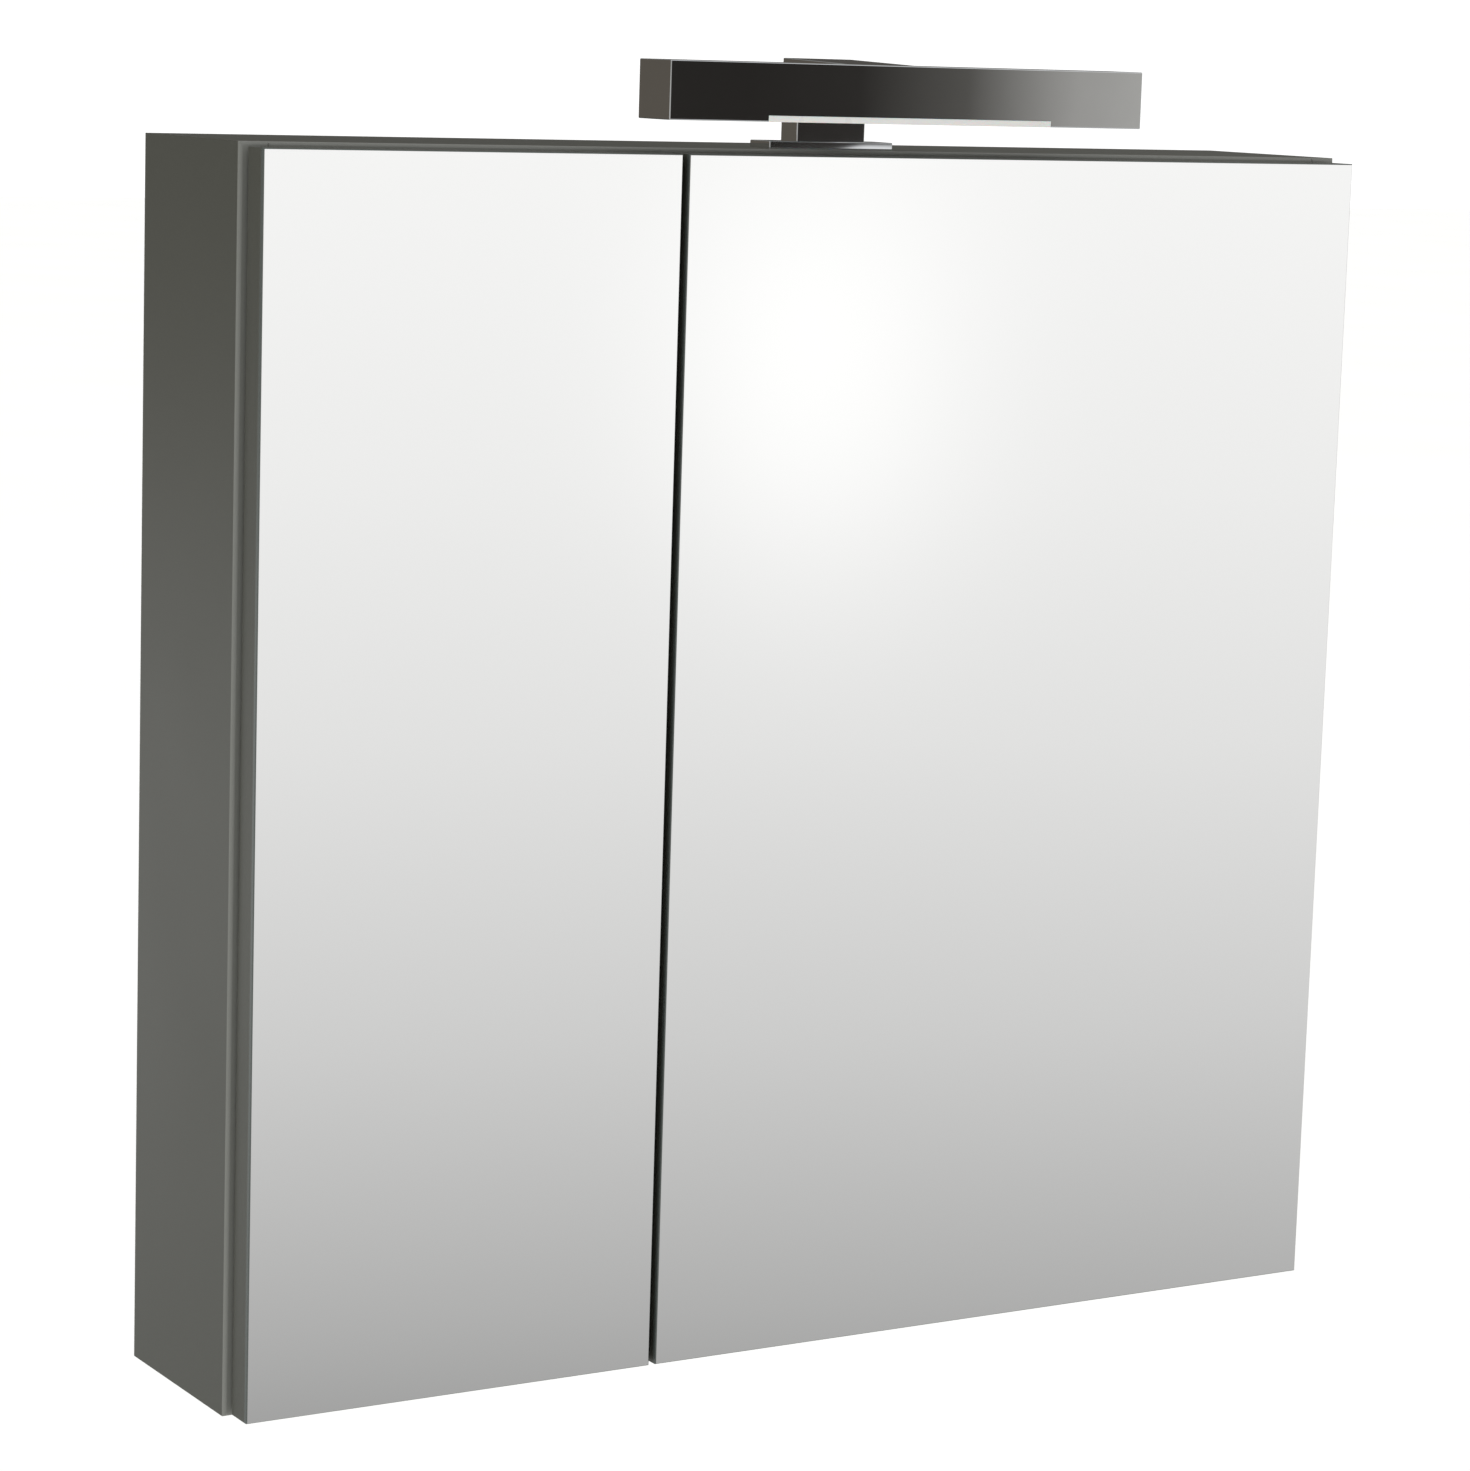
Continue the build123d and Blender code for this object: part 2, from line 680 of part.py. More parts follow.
# Fixed half of the hinges: cranked arms and their mounting plates
for name, side in sides.items():
    wall_x = side * inner_x
    pivot_x = side * (half_width - reveal_side - pivot_from_edge)
    leg_x = pivot_x - side * arm_crank
    seat_x = side * (half_width - arm_seat)
    with BuildPart() as hinge_arms:
        for z in hinge_heights:
            with BuildSketch(Plane.XY.offset(z)):
                with BuildLine():
                    FilletPolyline(
                        (pivot_x, pivot_y),
                        (leg_x, pivot_y),
                        (leg_x, arm_end_y),
                        radius=arm_bend,
                    )
                trace(line_width=arm_thickness)
                with Locations((pivot_x, pivot_y)):
                    Circle(knuckle_radius)
                    Circle(hinge_pin_radius + pin_run_play, mode=Mode.SUBTRACT)
            extrude(amount=arm_height / 2, both=True)
            block(
                (seat_x, pad_start_y, z - pad_height / 2),
                (side * (half_width - arm_face), arm_end_y, z + pad_height / 2),
            )
            pilot((side * (half_width - arm_face), arm_screw_y, z), (side, 0, 0), arm_screw)
    save(hinge_arms, f"{name}_hinge_arms")

    with BuildPart() as hinge_plates:
        for z in hinge_heights:
            block(
                (wall_x, plate_start_y, z - plate_height / 2),
                (seat_x, plate_end_y, z + plate_height / 2),
            )
            block(
                (wall_x, plate_wing_y[0], z - plate_wing_height / 2),
                (wall_x - side * plate_wing, plate_wing_y[1], z + plate_wing_height / 2),
            )
            pilot((side * (half_width - arm_face), arm_screw_y, z), (side, 0, 0), arm_screw)
            for half in (-plate_screw_pitch / 2, plate_screw_pitch / 2):
                seat = (wall_x - side * plate_wing, plate_screw_y, z + half)
                pilot(seat, (side, 0, 0), plate_screw)
    save(hinge_plates, f"{name}_hinge_plates")

with BuildPart() as hinge_plate_screws:
    for side in sides.values():
        for z in hinge_heights:
            for half in (-plate_screw_pitch / 2, plate_screw_pitch / 2):
                seat = (side * (inner_x - plate_wing), plate_screw_y, z + half)
                screw(seat, (side, 0, 0), plate_screw)
save(hinge_plate_screws, "hinge_plate_screws")

with BuildPart() as hinge_arm_screws:
    for side in sides.values():
        for z in hinge_heights:
            screw((side * (half_width - arm_face), arm_screw_y, z), (side, 0, 0), arm_screw)
save(hinge_arm_screws, "hinge_arm_screws")

# Lamp base plate, screwed to the top panel
neck_screw_x = (lamp_x - neck_screw_offset, lamp_x + neck_screw_offset)
base_screw_x = (lamp_x - base_screw_offset, lamp_x + base_screw_offset)
base_top_z = top_z + base_sheet
counterbore_z = top_z + neck_screw[1] + hole_play
with BuildPart() as lamp_base_plate:
    block(
        (lamp_x - base_width / 2, base_front_y, top_z),
        (lamp_x + base_width / 2, base_back_y, base_top_z),
    )
    fillet(lamp_base_plate.edges().filter_by(Axis.Z), lamp_round)
    fillet(lamp_base_plate.faces().sort_by(Axis.Z)[-1].edges(), neck_round)
    drill((lamp_x, cable_y, top_z), (lamp_x, cable_y, base_top_z), cable_channel)
    for x in base_screw_x:
        sunk_screw((x, base_screw_y, base_top_z), (0, 0, -1), base_screw, hole_play, Mode.SUBTRACT)
    for x in neck_screw_x:
        drill((x, cable_y, top_z), (x, cable_y, counterbore_z), neck_screw[0] + hole_play)
        pilot((x, cable_y, counterbore_z), (0, 0, 1), neck_screw)
save(lamp_base_plate, "lamp_base_plate")

# Neck: a post and an arm that falls to the bar and carries it out over the doors, bored for the lamp's wires
arm_low_z = neck_top_z - neck_arm_height
with BuildPart() as lamp_neck:
    with BuildSketch(Plane.YZ.offset(lamp_x)):
        with BuildLine():
            Polyline(
                (post_front_y, base_top_z),
                (post_back_y, base_top_z),
                (post_back_y, neck_top_z),
                (lamp_back_y, lamp_high_z),
                (lamp_back_y, arm_low_z),
                (post_front_y, arm_low_z),
                close=True,
            )
        make_face()
    extrude(amount=neck_width / 2, both=True)
    fillet(lamp_neck.edges().filter_by(Axis.Z), neck_round)
    fillet(lamp_neck.faces().sort_by(Axis.Z)[-1].edges(), neck_round)
    drill((lamp_x, cable_y, base_top_z), (lamp_x, cable_y, cable_z), cable_channel)
    drill((lamp_x, lamp_back_y, cable_z), (lamp_x, cable_y, cable_z), cable_channel)
    for x in neck_screw_x:
        pilot((x, cable_y, counterbore_z), (0, 0, 1), neck_screw)
        pilot((x, lamp_back_y - lamp_wall, cable_z), (0, 1, 0), neck_screw)
save(lamp_neck, "lamp_neck")

# Bar housing: a square tube with a web that carries the LED board, cut open for the opal strip
tube_low_x = lamp_x - lamp_length / 2 + cap_thickness
tube_high_x = lamp_x + lamp_length / 2 - cap_thickness
strip_back_y = lamp_front_y + diffuser_depth
strip_top_z = lamp_low_z + diffuser_height
with BuildPart() as lamp_housing:
    block((tube_low_x, lamp_front_y, lamp_low_z), (tube_high_x, lamp_back_y, lamp_high_z))
    fillet(lamp_housing.edges().filter_by(Axis.X), lamp_round)
    block(
        (tube_low_x, lamp_front_y + lamp_wall, lamp_low_z + lamp_wall),
        (tube_high_x, lamp_back_y - lamp_wall, lamp_high_z - lamp_wall),
        mode=Mode.SUBTRACT,
    )
    block(
        (tube_low_x + web_short, lamp_front_y + lamp_wall, web_z),
        (tube_high_x - web_short, lamp_front_y + lamp_wall + web_depth, web_z + lamp_wall),
    )
    block(
        (lamp_x - diffuser_length / 2, lamp_front_y, lamp_low_z),
        (lamp_x + diffuser_length / 2, strip_back_y, strip_top_z),
        mode=Mode.SUBTRACT,
    )
    drill((lamp_x, lamp_back_y - lamp_wall, cable_z), (lamp_x, lamp_back_y, cable_z), cable_channel)
    for x in neck_screw_x:
        pilot((x, lamp_back_y - lamp_wall, cable_z), (0, 1, 0), neck_screw)
save(lamp_housing, "lamp_housing")

# End caps, plugged into the tube
for name, side in sides.items():
    joint_x = lamp_x + side * (lamp_length / 2 - cap_thickness)
    plug_gap = lamp_wall + plug_play
    with BuildPart() as lamp_cap:
        block((joint_x, lamp_front_y, lamp_low_z), (joint_x + side * cap_thickness, lamp_back_y, lamp_high_z))
        fillet(lamp_cap.edges().filter_by(Axis.X), lamp_round)
        outer_face = lamp_cap.faces().filter_by(Axis.X).sort_by(Axis.X)[-1 if side > 0 else 0]
        fillet(outer_face.edges(), neck_round)
        block(
            (joint_x, lamp_front_y + plug_gap, lamp_low_z + plug_gap),
            (joint_x - side * cap_plug, lamp_back_y - plug_gap, lamp_high_z - plug_gap),
        )
    save(lamp_cap, f"lamp_{name}_cap")

# Opal strip, flush with the bar's front and underside
with BuildPart() as lamp_diffuser:
    block(
        (lamp_x - diffuser_length / 2 + diffuser_play, lamp_front_y, lamp_low_z),
        (
            lamp_x + diffuser_length / 2 - diffuser_play,
            strip_back_y - diffuser_play,
            strip_top_z - diffuser_play,
        ),
    )
    fillet(lamp_diffuser.edges().filter_by(Axis.X).group_by(Axis.Z)[0].sort_by(Axis.Y)[0], lamp_round)
save(lamp_diffuser, "lamp_diffuser")

# LED board under the web, with its chips facing down into the strip
led_y = lamp_front_y + lamp_wall + web_depth / 2
led_board_low_z = web_z - led_board_sheet
with BuildPart() as led_board:
    block(
        (lamp_x - led_board_length / 2, led_y - led_board_depth / 2, led_board_low_z),
        (lamp_x + led_board_length / 2, led_y + led_board_depth / 2, web_z),
    )
save(led_board, "led_board")

led_pitch = led_board_length / led_count
with BuildPart() as led_chips:
    with Locations((lamp_x, led_y, led_board_low_z)):
        with GridLocations(led_pitch, 0, led_count, 1):
            Box(led_length, led_width, led_height, align=(Align.CENTER, Align.CENTER, Align.MAX))
save(led_chips, "led_chips")

with BuildPart() as lamp_neck_screws:
    for x in neck_screw_x:
        screw((x, cable_y, counterbore_z), (0, 0, 1), neck_screw)
        screw((x, lamp_back_y - lamp_wall, cable_z), (0, 1, 0), neck_screw)
save(lamp_neck_screws, "lamp_neck_screws")

with BuildPart() as lamp_base_screws:
    for x in base_screw_x:
        sunk_screw((x, base_screw_y, base_top_z), (0, 0, -1), base_screw)
        cross_recess((x, base_screw_y, base_top_z), (0, 0, -1), base_screw)
save(lamp_base_screws, "lamp_base_screws")

# Driver box, open to the front, with bosses for the cover's screws and posts for the board
cover_screw_x = (box_low_x + cover_screw_inset, box_high_x - cover_screw_inset)
box_screw_x = (box_low_x + box_screw_inset, box_high_x - box_screw_inset)
with BuildPart() as driver_box:
    block((box_low_x, box_front_y, box_low_z), (box_high_x, box_back_y, ceiling_z))
    fillet(driver_box.edges().filter_by(Axis.Y).group_by(Axis.Z)[0], box_round)
    block(
        (box_low_x + box_wall, box_front_y, box_low_z + box_wall),
        (box_high_x - box_wall, box_back_y - box_wall, ceiling_z - box_wall),
        mode=Mode.SUBTRACT,
    )
    for edge_x, inward in ((box_low_x, 1), (box_high_x, -1)):
        block(
            (edge_x + inward * box_wall / 2, box_front_y, box_middle_z - boss_width / 2),
            (edge_x + inward * boss_width, box_front_y + boss_depth, box_middle_z + boss_width / 2),
        )
    for x in (board_low_x + post_inset, board_high_x - post_inset):
        for y in (board_front_y + post_inset, board_back_y - post_inset):
            rod((x, y, box_low_z + box_wall / 2), (x, y, board_low_z), post_radius)
    drill((lamp_x, box_back_y, box_middle_z), (lamp_x, box_back_y - box_wall, box_middle_z), box_cable_hole)
    drill((lamp_x, cable_y, ceiling_z), (lamp_x, cable_y, ceiling_z - box_wall), cable_channel)
    for x in cover_screw_x:
        pilot((x, cover_front_y, box_middle_z), (0, 1, 0), cover_screw)
    for x in box_screw_x:
        pilot((x, box_screw_y, ceiling_z - box_wall), (0, 0, 1), box_screw)
save(driver_box, "driver_box")

# Cover with the switch opening and two lugs for the rocker's axle
with BuildPart() as driver_box_cover:
    block((box_low_x, cover_front_y, box_low_z), (box_high_x, box_front_y, ceiling_z))
    fillet(driver_box_cover.edges().filter_by(Axis.Y).group_by(Axis.Z)[0], box_round)
    fillet(driver_box_cover.faces().sort_by(Axis.Y)[0].edges(), neck_round)
    block(
        (
            rocker_x - rocker_opening_width / 2,
            cover_front_y,
            box_middle_z - rocker_opening_height / 2,
        ),
        (
            rocker_x + rocker_opening_width / 2,
            box_front_y,
            box_middle_z + rocker_opening_height / 2,
        ),
        mode=Mode.SUBTRACT,
    )
    for side in sides.values():
        lug_x = rocker_x + side * lug_gap
        block(
            (lug_x, box_front_y, box_middle_z - lug_half),
            (lug_x + side * lug_sheet, lug_end_y, box_middle_z + lug_half),
        )
        drill(
            (lug_x, axle_y, box_middle_z),
            (lug_x + side * lug_sheet, axle_y, box_middle_z),
            axle_radius + pin_seat_play,
        )
    for x in cover_screw_x:
        pilot((x, cover_front_y, box_middle_z), (0, 1, 0), cover_screw)
save(driver_box_cover, "driver_box_cover")

with BuildPart() as driver_cover_screws:
    for x in cover_screw_x:
        screw((x, cover_front_y, box_middle_z), (0, 1, 0), cover_screw)
save(driver_cover_screws, "driver_cover_screws")

with BuildPart() as driver_box_screws:
    for x in box_screw_x:
        screw((x, box_screw_y, ceiling_z - box_wall), (0, 0, 1), box_screw)
save(driver_box_screws, "driver_box_screws")

# Rocker and its axle, at rest with its upper half pressed in
axle_half = lug_gap + lug_sheet
with BuildPart() as switch_axle:
    rod(
        (rocker_x - axle_half, axle_y, box_middle_z),
        (rocker_x + axle_half, axle_y, box_middle_z),
        axle_radius,
    )
save(switch_axle, "switch_axle")

forward = (0, -cos(radians(rocker_tilt)), sin(radians(rocker_tilt)))
rocker_plane = Plane(origin=(rocker_x, axle_y, box_middle_z), x_dir=forward, z_dir=(1, 0, 0))
with BuildPart() as switch_rocker:
    with BuildSketch(rocker_plane):
        with BuildLine():
            Polyline(
                (rocker_crest, rocker_half),
                (rocker_front, 0),
                (rocker_crest, -rocker_half),
                (rocker_skirt, -rocker_half),
                (-rocker_hub, -rocker_hub),
                (-rocker_hub, rocker_hub),
                (rocker_skirt, rocker_half),
                close=True,
            )
        make_face()
        Circle(axle_radius + pin_run_play, mode=Mode.SUBTRACT)
    extrude(amount=rocker_width / 2, both=True)
save(switch_rocker, "switch_rocker")

# Driver board with its transformer and capacitors, and the terminal block beside it
with BuildPart() as driver_board:
    block((board_low_x, board_front_y, board_low_z), (board_high_x, board_back_y, board_top_z))
    with Locations((transformer_x, (board_front_y + board_back_y) / 2, board_top_z)):
        Box(*transformer, align=(Align.CENTER, Align.CENTER, Align.MIN))
    for x in capacitor_x:
        rod((x, capacitor_y, board_top_z), (x, capacitor_y, board_top_z + capacitor_height), capacitor_radius)
save(driver_board, "driver_board")

terminal_low = (terminal_low_x, board_back_y - terminal_size[1], box_low_z + box_wall)
terminal_high = [low + size for low, size in zip(terminal_low, terminal_size)]
with BuildPart() as terminal_block:
    block(terminal_low, terminal_high)
    for step in terminal_steps:
        x = (terminal_low[0] + terminal_high[0]) / 2 + step
        z = (terminal_low[2] + terminal_high[2]) / 2
        drill((x, terminal_low[1], z), (x, terminal_high[1], z), terminal_hole)
save(terminal_block, "terminal_block")

# Rubber grommet in the back sheet, where the mains cable comes in
with BuildPart() as cable_grommet:
    inner_y = back_face_y - grommet_lip
    outer_y = -back_inset + grommet_lip
    rod((lamp_x, inner_y, box_middle_z), (lamp_x, back_face_y, box_middle_z), grommet_flange)
    rod((lamp_x, back_face_y, box_middle_z), (lamp_x, -back_inset, box_middle_z), grommet_neck)
    rod((lamp_x, -back_inset, box_middle_z), (lamp_x, outer_y, box_middle_z), grommet_flange)
    drill((lamp_x, inner_y, box_middle_z), (lamp_x, outer_y, box_middle_z), grommet_bore)
save(cable_grommet, "cable_grommet")
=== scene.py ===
# %% [markdown]
# # A mirror cabinet for a bathroom wall
# The real object is a shallow chipboard carcass with two frameless mirror doors, a narrow one and a
# wide one, and a chrome lamp on a neck on its top panel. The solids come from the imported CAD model,
# which is the fixed frame. This lesson gives every solid the finish of its real material, adds the
# small pieces that a solid modeller leaves out, and lights the whole as the photograph is lit.

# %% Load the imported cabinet
import math

import bmesh
import bpy
from mathutils import Matrix, Vector


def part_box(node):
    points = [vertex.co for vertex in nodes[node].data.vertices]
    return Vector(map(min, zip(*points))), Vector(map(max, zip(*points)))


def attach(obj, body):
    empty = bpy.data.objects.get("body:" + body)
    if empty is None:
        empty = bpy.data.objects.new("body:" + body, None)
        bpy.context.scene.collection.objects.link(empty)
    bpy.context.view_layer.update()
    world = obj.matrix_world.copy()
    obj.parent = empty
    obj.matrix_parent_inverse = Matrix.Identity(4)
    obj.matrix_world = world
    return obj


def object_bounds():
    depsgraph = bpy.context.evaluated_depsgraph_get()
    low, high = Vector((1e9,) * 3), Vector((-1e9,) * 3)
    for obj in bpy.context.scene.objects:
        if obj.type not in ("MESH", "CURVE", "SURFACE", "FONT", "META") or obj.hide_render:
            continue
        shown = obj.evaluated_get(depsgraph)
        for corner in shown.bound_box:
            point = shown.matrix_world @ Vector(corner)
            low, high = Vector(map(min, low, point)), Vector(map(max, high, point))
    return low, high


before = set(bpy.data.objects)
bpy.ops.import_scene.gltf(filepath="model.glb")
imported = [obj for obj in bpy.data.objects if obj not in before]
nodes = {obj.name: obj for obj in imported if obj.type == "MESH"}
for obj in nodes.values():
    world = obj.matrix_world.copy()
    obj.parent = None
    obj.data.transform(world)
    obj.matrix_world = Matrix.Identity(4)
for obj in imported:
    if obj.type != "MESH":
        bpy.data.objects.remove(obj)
cad_box = [list(corner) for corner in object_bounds()]
MM = 0.001
print("nodes in the frame:", len(nodes))
print("CAD box in metres:", cad_box)

# %% [markdown]
# ## Tools for the finishes
# A finish is a small graph of nodes. Each one could be wired by hand in the shader editor, but a
# script reads better with one short function that makes a node, sets its properties, and either
# links or sets its inputs. Colours are picked as sRGB hex values, as a paint chart gives them, and
# the shader wants linear light, so one function converts them. Pattern sizes are real millimetres.

# %% Node and colour helpers
MIX_FACTOR, MIX_FIRST, MIX_SECOND, MIX_RESULT = 0, 6, 7, 2


def linear(hex_colour):
    """An sRGB hex colour as linear red, green, blue and alpha."""
    channels = [int(hex_colour[i:i + 2], 16) / 255 for i in (1, 3, 5)]
    light = [c / 12.92 if c <= 0.04045 else ((c + 0.055) / 1.055) ** 2.4 for c in channels]
    return (*light, 1.0)


def per_metre(size_mm):
    """The scale of a texture whose features are size_mm across, on coordinates in metres."""
    return 1 / (size_mm * MM)


def add(tree, kind, inputs=(), **settings):
    """Add one node: settings are its properties, inputs are values or the sockets to link from."""
    node = tree.nodes.new(kind)
    for name, value in settings.items():
        setattr(node, name, value)
    for socket, value in dict(inputs).items():
        if isinstance(value, bpy.types.NodeSocket):
            tree.links.new(value, node.inputs[socket])
        else:
            node.inputs[socket].default_value = value
    return node


def start(name):
    """A new material with its tree, its principled shader and the object coordinates."""
    finish = bpy.data.materials.new(name)
    finish.use_nodes = True
    tree = finish.node_tree
    shader = tree.nodes["Principled BSDF"]
    place = add(tree, "ShaderNodeTexCoord").outputs["Object"]
    return finish, tree, shader, place


def dress(finish, *names):
    """Give the named CAD nodes one finish."""
    for name in names:
        nodes[name].data.materials.clear()
        nodes[name].data.materials.append(finish)
    print(finish.name, "on", len(names), "nodes")


# %% [markdown]
# ## Melamine-faced board
# The carcass and doors are 16 mm chipboard under a sheet of printed paper soaked in melamine resin.
# The face is a warm anthracite with a pearl texture pressed into it, so it has a soft satin sheen
# and no mirror reflections. The front edges of the carcass have a 2 mm strip of ABS glued on and rounded.
# The strip is painted a little lighter than the paper. That lighter grey is a painted highlight for the
# front light that the rounded edge catches. Where a drill or a saw went in after facing, the pale chips
# show. One material could carry all three if it knew how deep a point lies, so each board's own box gives
# that depth. The facing is counted as deep as the rounded edges of the boards, which are painted to match.
# The grip cut into each door's foot is lacquered, so bare chips start above it. The pearl is finer on the
# real board, and is drawn at 0.9 mm so that it shows.

# %% Melamine board
facing = 0.9 * MM
edging = 2 * MM
grip_height = 14 * MM


def melamine_board(node, bare_from, highlight_strip):
    """Satin melamine on a board, a lighter painted highlight on the edging along its front, bare chips deeper
    than bare_from.
    """
    finish, tree, shader, place = start(f"melamine_board_{node}")
    low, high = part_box(node)
    offset = add(tree, "ShaderNodeVectorMath", {0: place, 1: (low + high) / 2}, operation="SUBTRACT")
    reach = add(tree, "ShaderNodeVectorMath", {0: offset.outputs[0]}, operation="ABSOLUTE")
    board = (high - low) / 2 - Vector(bare_from)
    depth = add(tree, "ShaderNodeVectorMath", {0: board, 1: reach.outputs[0]}, operation="SUBTRACT")
    along = add(tree, "ShaderNodeSeparateXYZ", {0: depth.outputs[0]}).outputs
    least = add(tree, "ShaderNodeMath", {0: along["X"], 1: along["Y"]}, operation="MINIMUM")
    least = add(tree, "ShaderNodeMath", {0: least.outputs[0], 1: along["Z"]}, operation="MINIMUM")
    cut = add(tree, "ShaderNodeMath", {0: least.outputs[0], 1: 0.0}, operation="GREATER_THAN").outputs[0]
    front = add(tree, "ShaderNodeSeparateXYZ", {0: place}).outputs["Y"]
    # A strip along the front of the board is marked for a lighter grey, a painted highlight on the rounded
    # edging.
    edge_highlight = add(tree, "ShaderNodeMath", {0: front, 1: low.y + highlight_strip}, operation="LESS_THAN").outputs[0]

    pearl = add(tree, "ShaderNodeTexNoise", {"Vector": place, "Scale": per_metre(0.9), "Detail": 4.0})
    cloud = add(tree, "ShaderNodeTexNoise", {"Vector": place, "Scale": per_metre(120), "Detail": 2.0})
    face = add(
        tree,
        "ShaderNodeMix",
        {MIX_FACTOR: pearl.outputs[0], MIX_FIRST: linear("#3b3c36"), MIX_SECOND: linear("#474841")},
        data_type="RGBA",
    )
    # The edging strip's lighter grey is a painted highlight for the front light on its rounded edge.
    face_and_highlight = add(
        tree,
        "ShaderNodeMix",
        {MIX_FACTOR: edge_highlight, MIX_FIRST: face.outputs[MIX_RESULT], MIX_SECOND: linear("#6e6f6a")},
        data_type="RGBA",
    )
    chips = add(tree, "ShaderNodeTexVoronoi", {"Vector": place, "Scale": per_metre(2.2)})
    core = add(
        tree,
        "ShaderNodeMix",
        {MIX_FACTOR: chips.outputs["Distance"], MIX_FIRST: linear("#b08d62"), MIX_SECOND: linear("#7c5c3a")},
        data_type="RGBA",
    )
    colour = add(
        tree,
        "ShaderNodeMix",
        {MIX_FACTOR: cut, MIX_FIRST: face_and_highlight.outputs[MIX_RESULT], MIX_SECOND: core.outputs[MIX_RESULT]},
        data_type="RGBA",
    )
    tree.links.new(colour.outputs[MIX_RESULT], shader.inputs["Base Color"])
    satin = add(tree, "ShaderNodeMath", {0: cloud.outputs[0], 1: 0.08, 2: 0.26}, operation="MULTIPLY_ADD")
    dull = add(tree, "ShaderNodeMath", {0: cut, 1: 0.4, 2: satin.outputs[0]}, operation="MULTIPLY_ADD")
    tree.links.new(dull.outputs[0], shader.inputs["Roughness"])
    press = add(tree, "ShaderNodeBump", {"Height": pearl.outputs[0], "Strength": 0.25, "Distance": 0.05 * MM})
    tree.links.new(press.outputs["Normal"], shader.inputs["Normal"])
    shader.inputs["IOR"].default_value = 1.5
    shader.inputs["Specular IOR Level"].default_value = 0.4
    return finish


for name in ("left_side", "right_side", "top_panel", "bottom_panel", "partition"):
    dress(melamine_board(name, (facing, edging, facing), edging), name)
for name in ("left_door_panel", "right_door_panel"):
    dress(melamine_board(name, (facing, facing, grip_height), 0), name)

# %% [markdown]
# ## Hardboard back
# The back is a 3 mm sheet of hardboard. Its inside is lacquered grey to go with the boards, and its
# wall side is left raw, with the print of the wire screen that it was pressed on. Both sides could be
# two pieces, but it is one sheet, so the depth of a point chooses between them.

# %% Lacquered hardboard
lacquer_depth = 0.4 * MM


def lacquered_hardboard(node):
    """Grey lacquer on the inside of the sheet, raw brown screen-printed fibre on the wall side."""
    finish, tree, shader, place = start("lacquered_hardboard")
    low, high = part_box(node)
    along = add(tree, "ShaderNodeSeparateXYZ", {0: place}).outputs
    inside = low.y + lacquer_depth
    raw = add(tree, "ShaderNodeMath", {0: along["Y"], 1: inside}, operation="GREATER_THAN").outputs[0]
    fibre = add(tree, "ShaderNodeTexNoise", {"Vector": place, "Scale": per_metre(1.6), "Detail": 5.0})
    lacquer = add(
        tree,
        "ShaderNodeMix",
        {MIX_FACTOR: fibre.outputs[0], MIX_FIRST: linear("#6b6c66"), MIX_SECOND: linear("#777872")},
        data_type="RGBA",
    )
    brown = add(
        tree,
        "ShaderNodeMix",
        {MIX_FACTOR: fibre.outputs[0], MIX_FIRST: linear("#5a3f28"), MIX_SECOND: linear("#94704a")},
        data_type="RGBA",
    )
    colour = add(
        tree,
        "ShaderNodeMix",
        {MIX_FACTOR: raw, MIX_FIRST: lacquer.outputs[MIX_RESULT], MIX_SECOND: brown.outputs[MIX_RESULT]},
        data_type="RGBA",
    )
    tree.links.new(colour.outputs[MIX_RESULT], shader.inputs["Base Color"])
    dull = add(tree, "ShaderNodeMath", {0: raw, 1: 0.4, 2: 0.42}, operation="MULTIPLY_ADD")
    tree.links.new(dull.outputs[0], shader.inputs["Roughness"])
    screen = add(tree, "ShaderNodeTexChecker", {"Vector": place, "Scale": per_metre(3)})
    print_depth = add(tree, "ShaderNodeMath", {0: screen.outputs["Fac"], 1: raw}, operation="MULTIPLY")
    height = add(tree, "ShaderNodeMath", {0: print_depth.outputs[0], 1: fibre.outputs[0]}, operation="ADD")
    press = add(tree, "ShaderNodeBump", {"Height": height.outputs[0], "Strength": 0.3, "Distance": 0.1 * MM})
    tree.links.new(press.outputs["Normal"], shader.inputs["Normal"])
    return finish


dress(lacquered_hardboard("back_panel"), "back_panel")

# %% [markdown]
# ## Silvered mirror glass
# A mirror is float glass with silver behind it. From the front it is almost all reflection, a little
# green from the iron in the glass, and it is never perfectly even, so a faint film varies its polish.
# The ground edges show the glass itself, which is dark from the side. A clear solid over a silver
# sheet would be true to life and slow to render, so one shader is metal on the face and glass-dark on
# the edge.

# %% Mirror glass
silver_depth = 0.1 * MM


def mirror_glass(node):
    """Silver on the front face of a mirror, dark ground glass on its edges."""
    finish, tree, shader, place = start("silvered_mirror_glass")
    low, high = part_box(node)
    along = add(tree, "ShaderNodeSeparateXYZ", {0: place}).outputs
    behind_face = low.y + silver_depth
    edge = add(tree, "ShaderNodeMath", {0: along["Y"], 1: behind_face}, operation="GREATER_THAN").outputs[0]
    colour = add(
        tree,
        "ShaderNodeMix",
        {MIX_FACTOR: edge, MIX_FIRST: linear("#f4f4f3"), MIX_SECOND: linear("#4a4f4c")},
        data_type="RGBA",
    )
    tree.links.new(colour.outputs[MIX_RESULT], shader.inputs["Base Color"])
    metal = add(tree, "ShaderNodeMath", {0: 1.0, 1: edge}, operation="SUBTRACT")
    tree.links.new(metal.outputs[0], shader.inputs["Metallic"])
    film = add(tree, "ShaderNodeTexNoise", {"Vector": place, "Scale": per_metre(80), "Detail": 3.0})
    polish = add(tree, "ShaderNodeMath", {0: film.outputs[0], 1: 0.012, 2: 0.004}, operation="MULTIPLY_ADD")
    ground = add(tree, "ShaderNodeMath", {0: edge, 1: 0.2, 2: polish.outputs[0]}, operation="MULTIPLY_ADD")
    tree.links.new(ground.outputs[0], shader.inputs["Roughness"])
    return finish


dress(mirror_glass("left_mirror"), "left_mirror", "right_mirror")

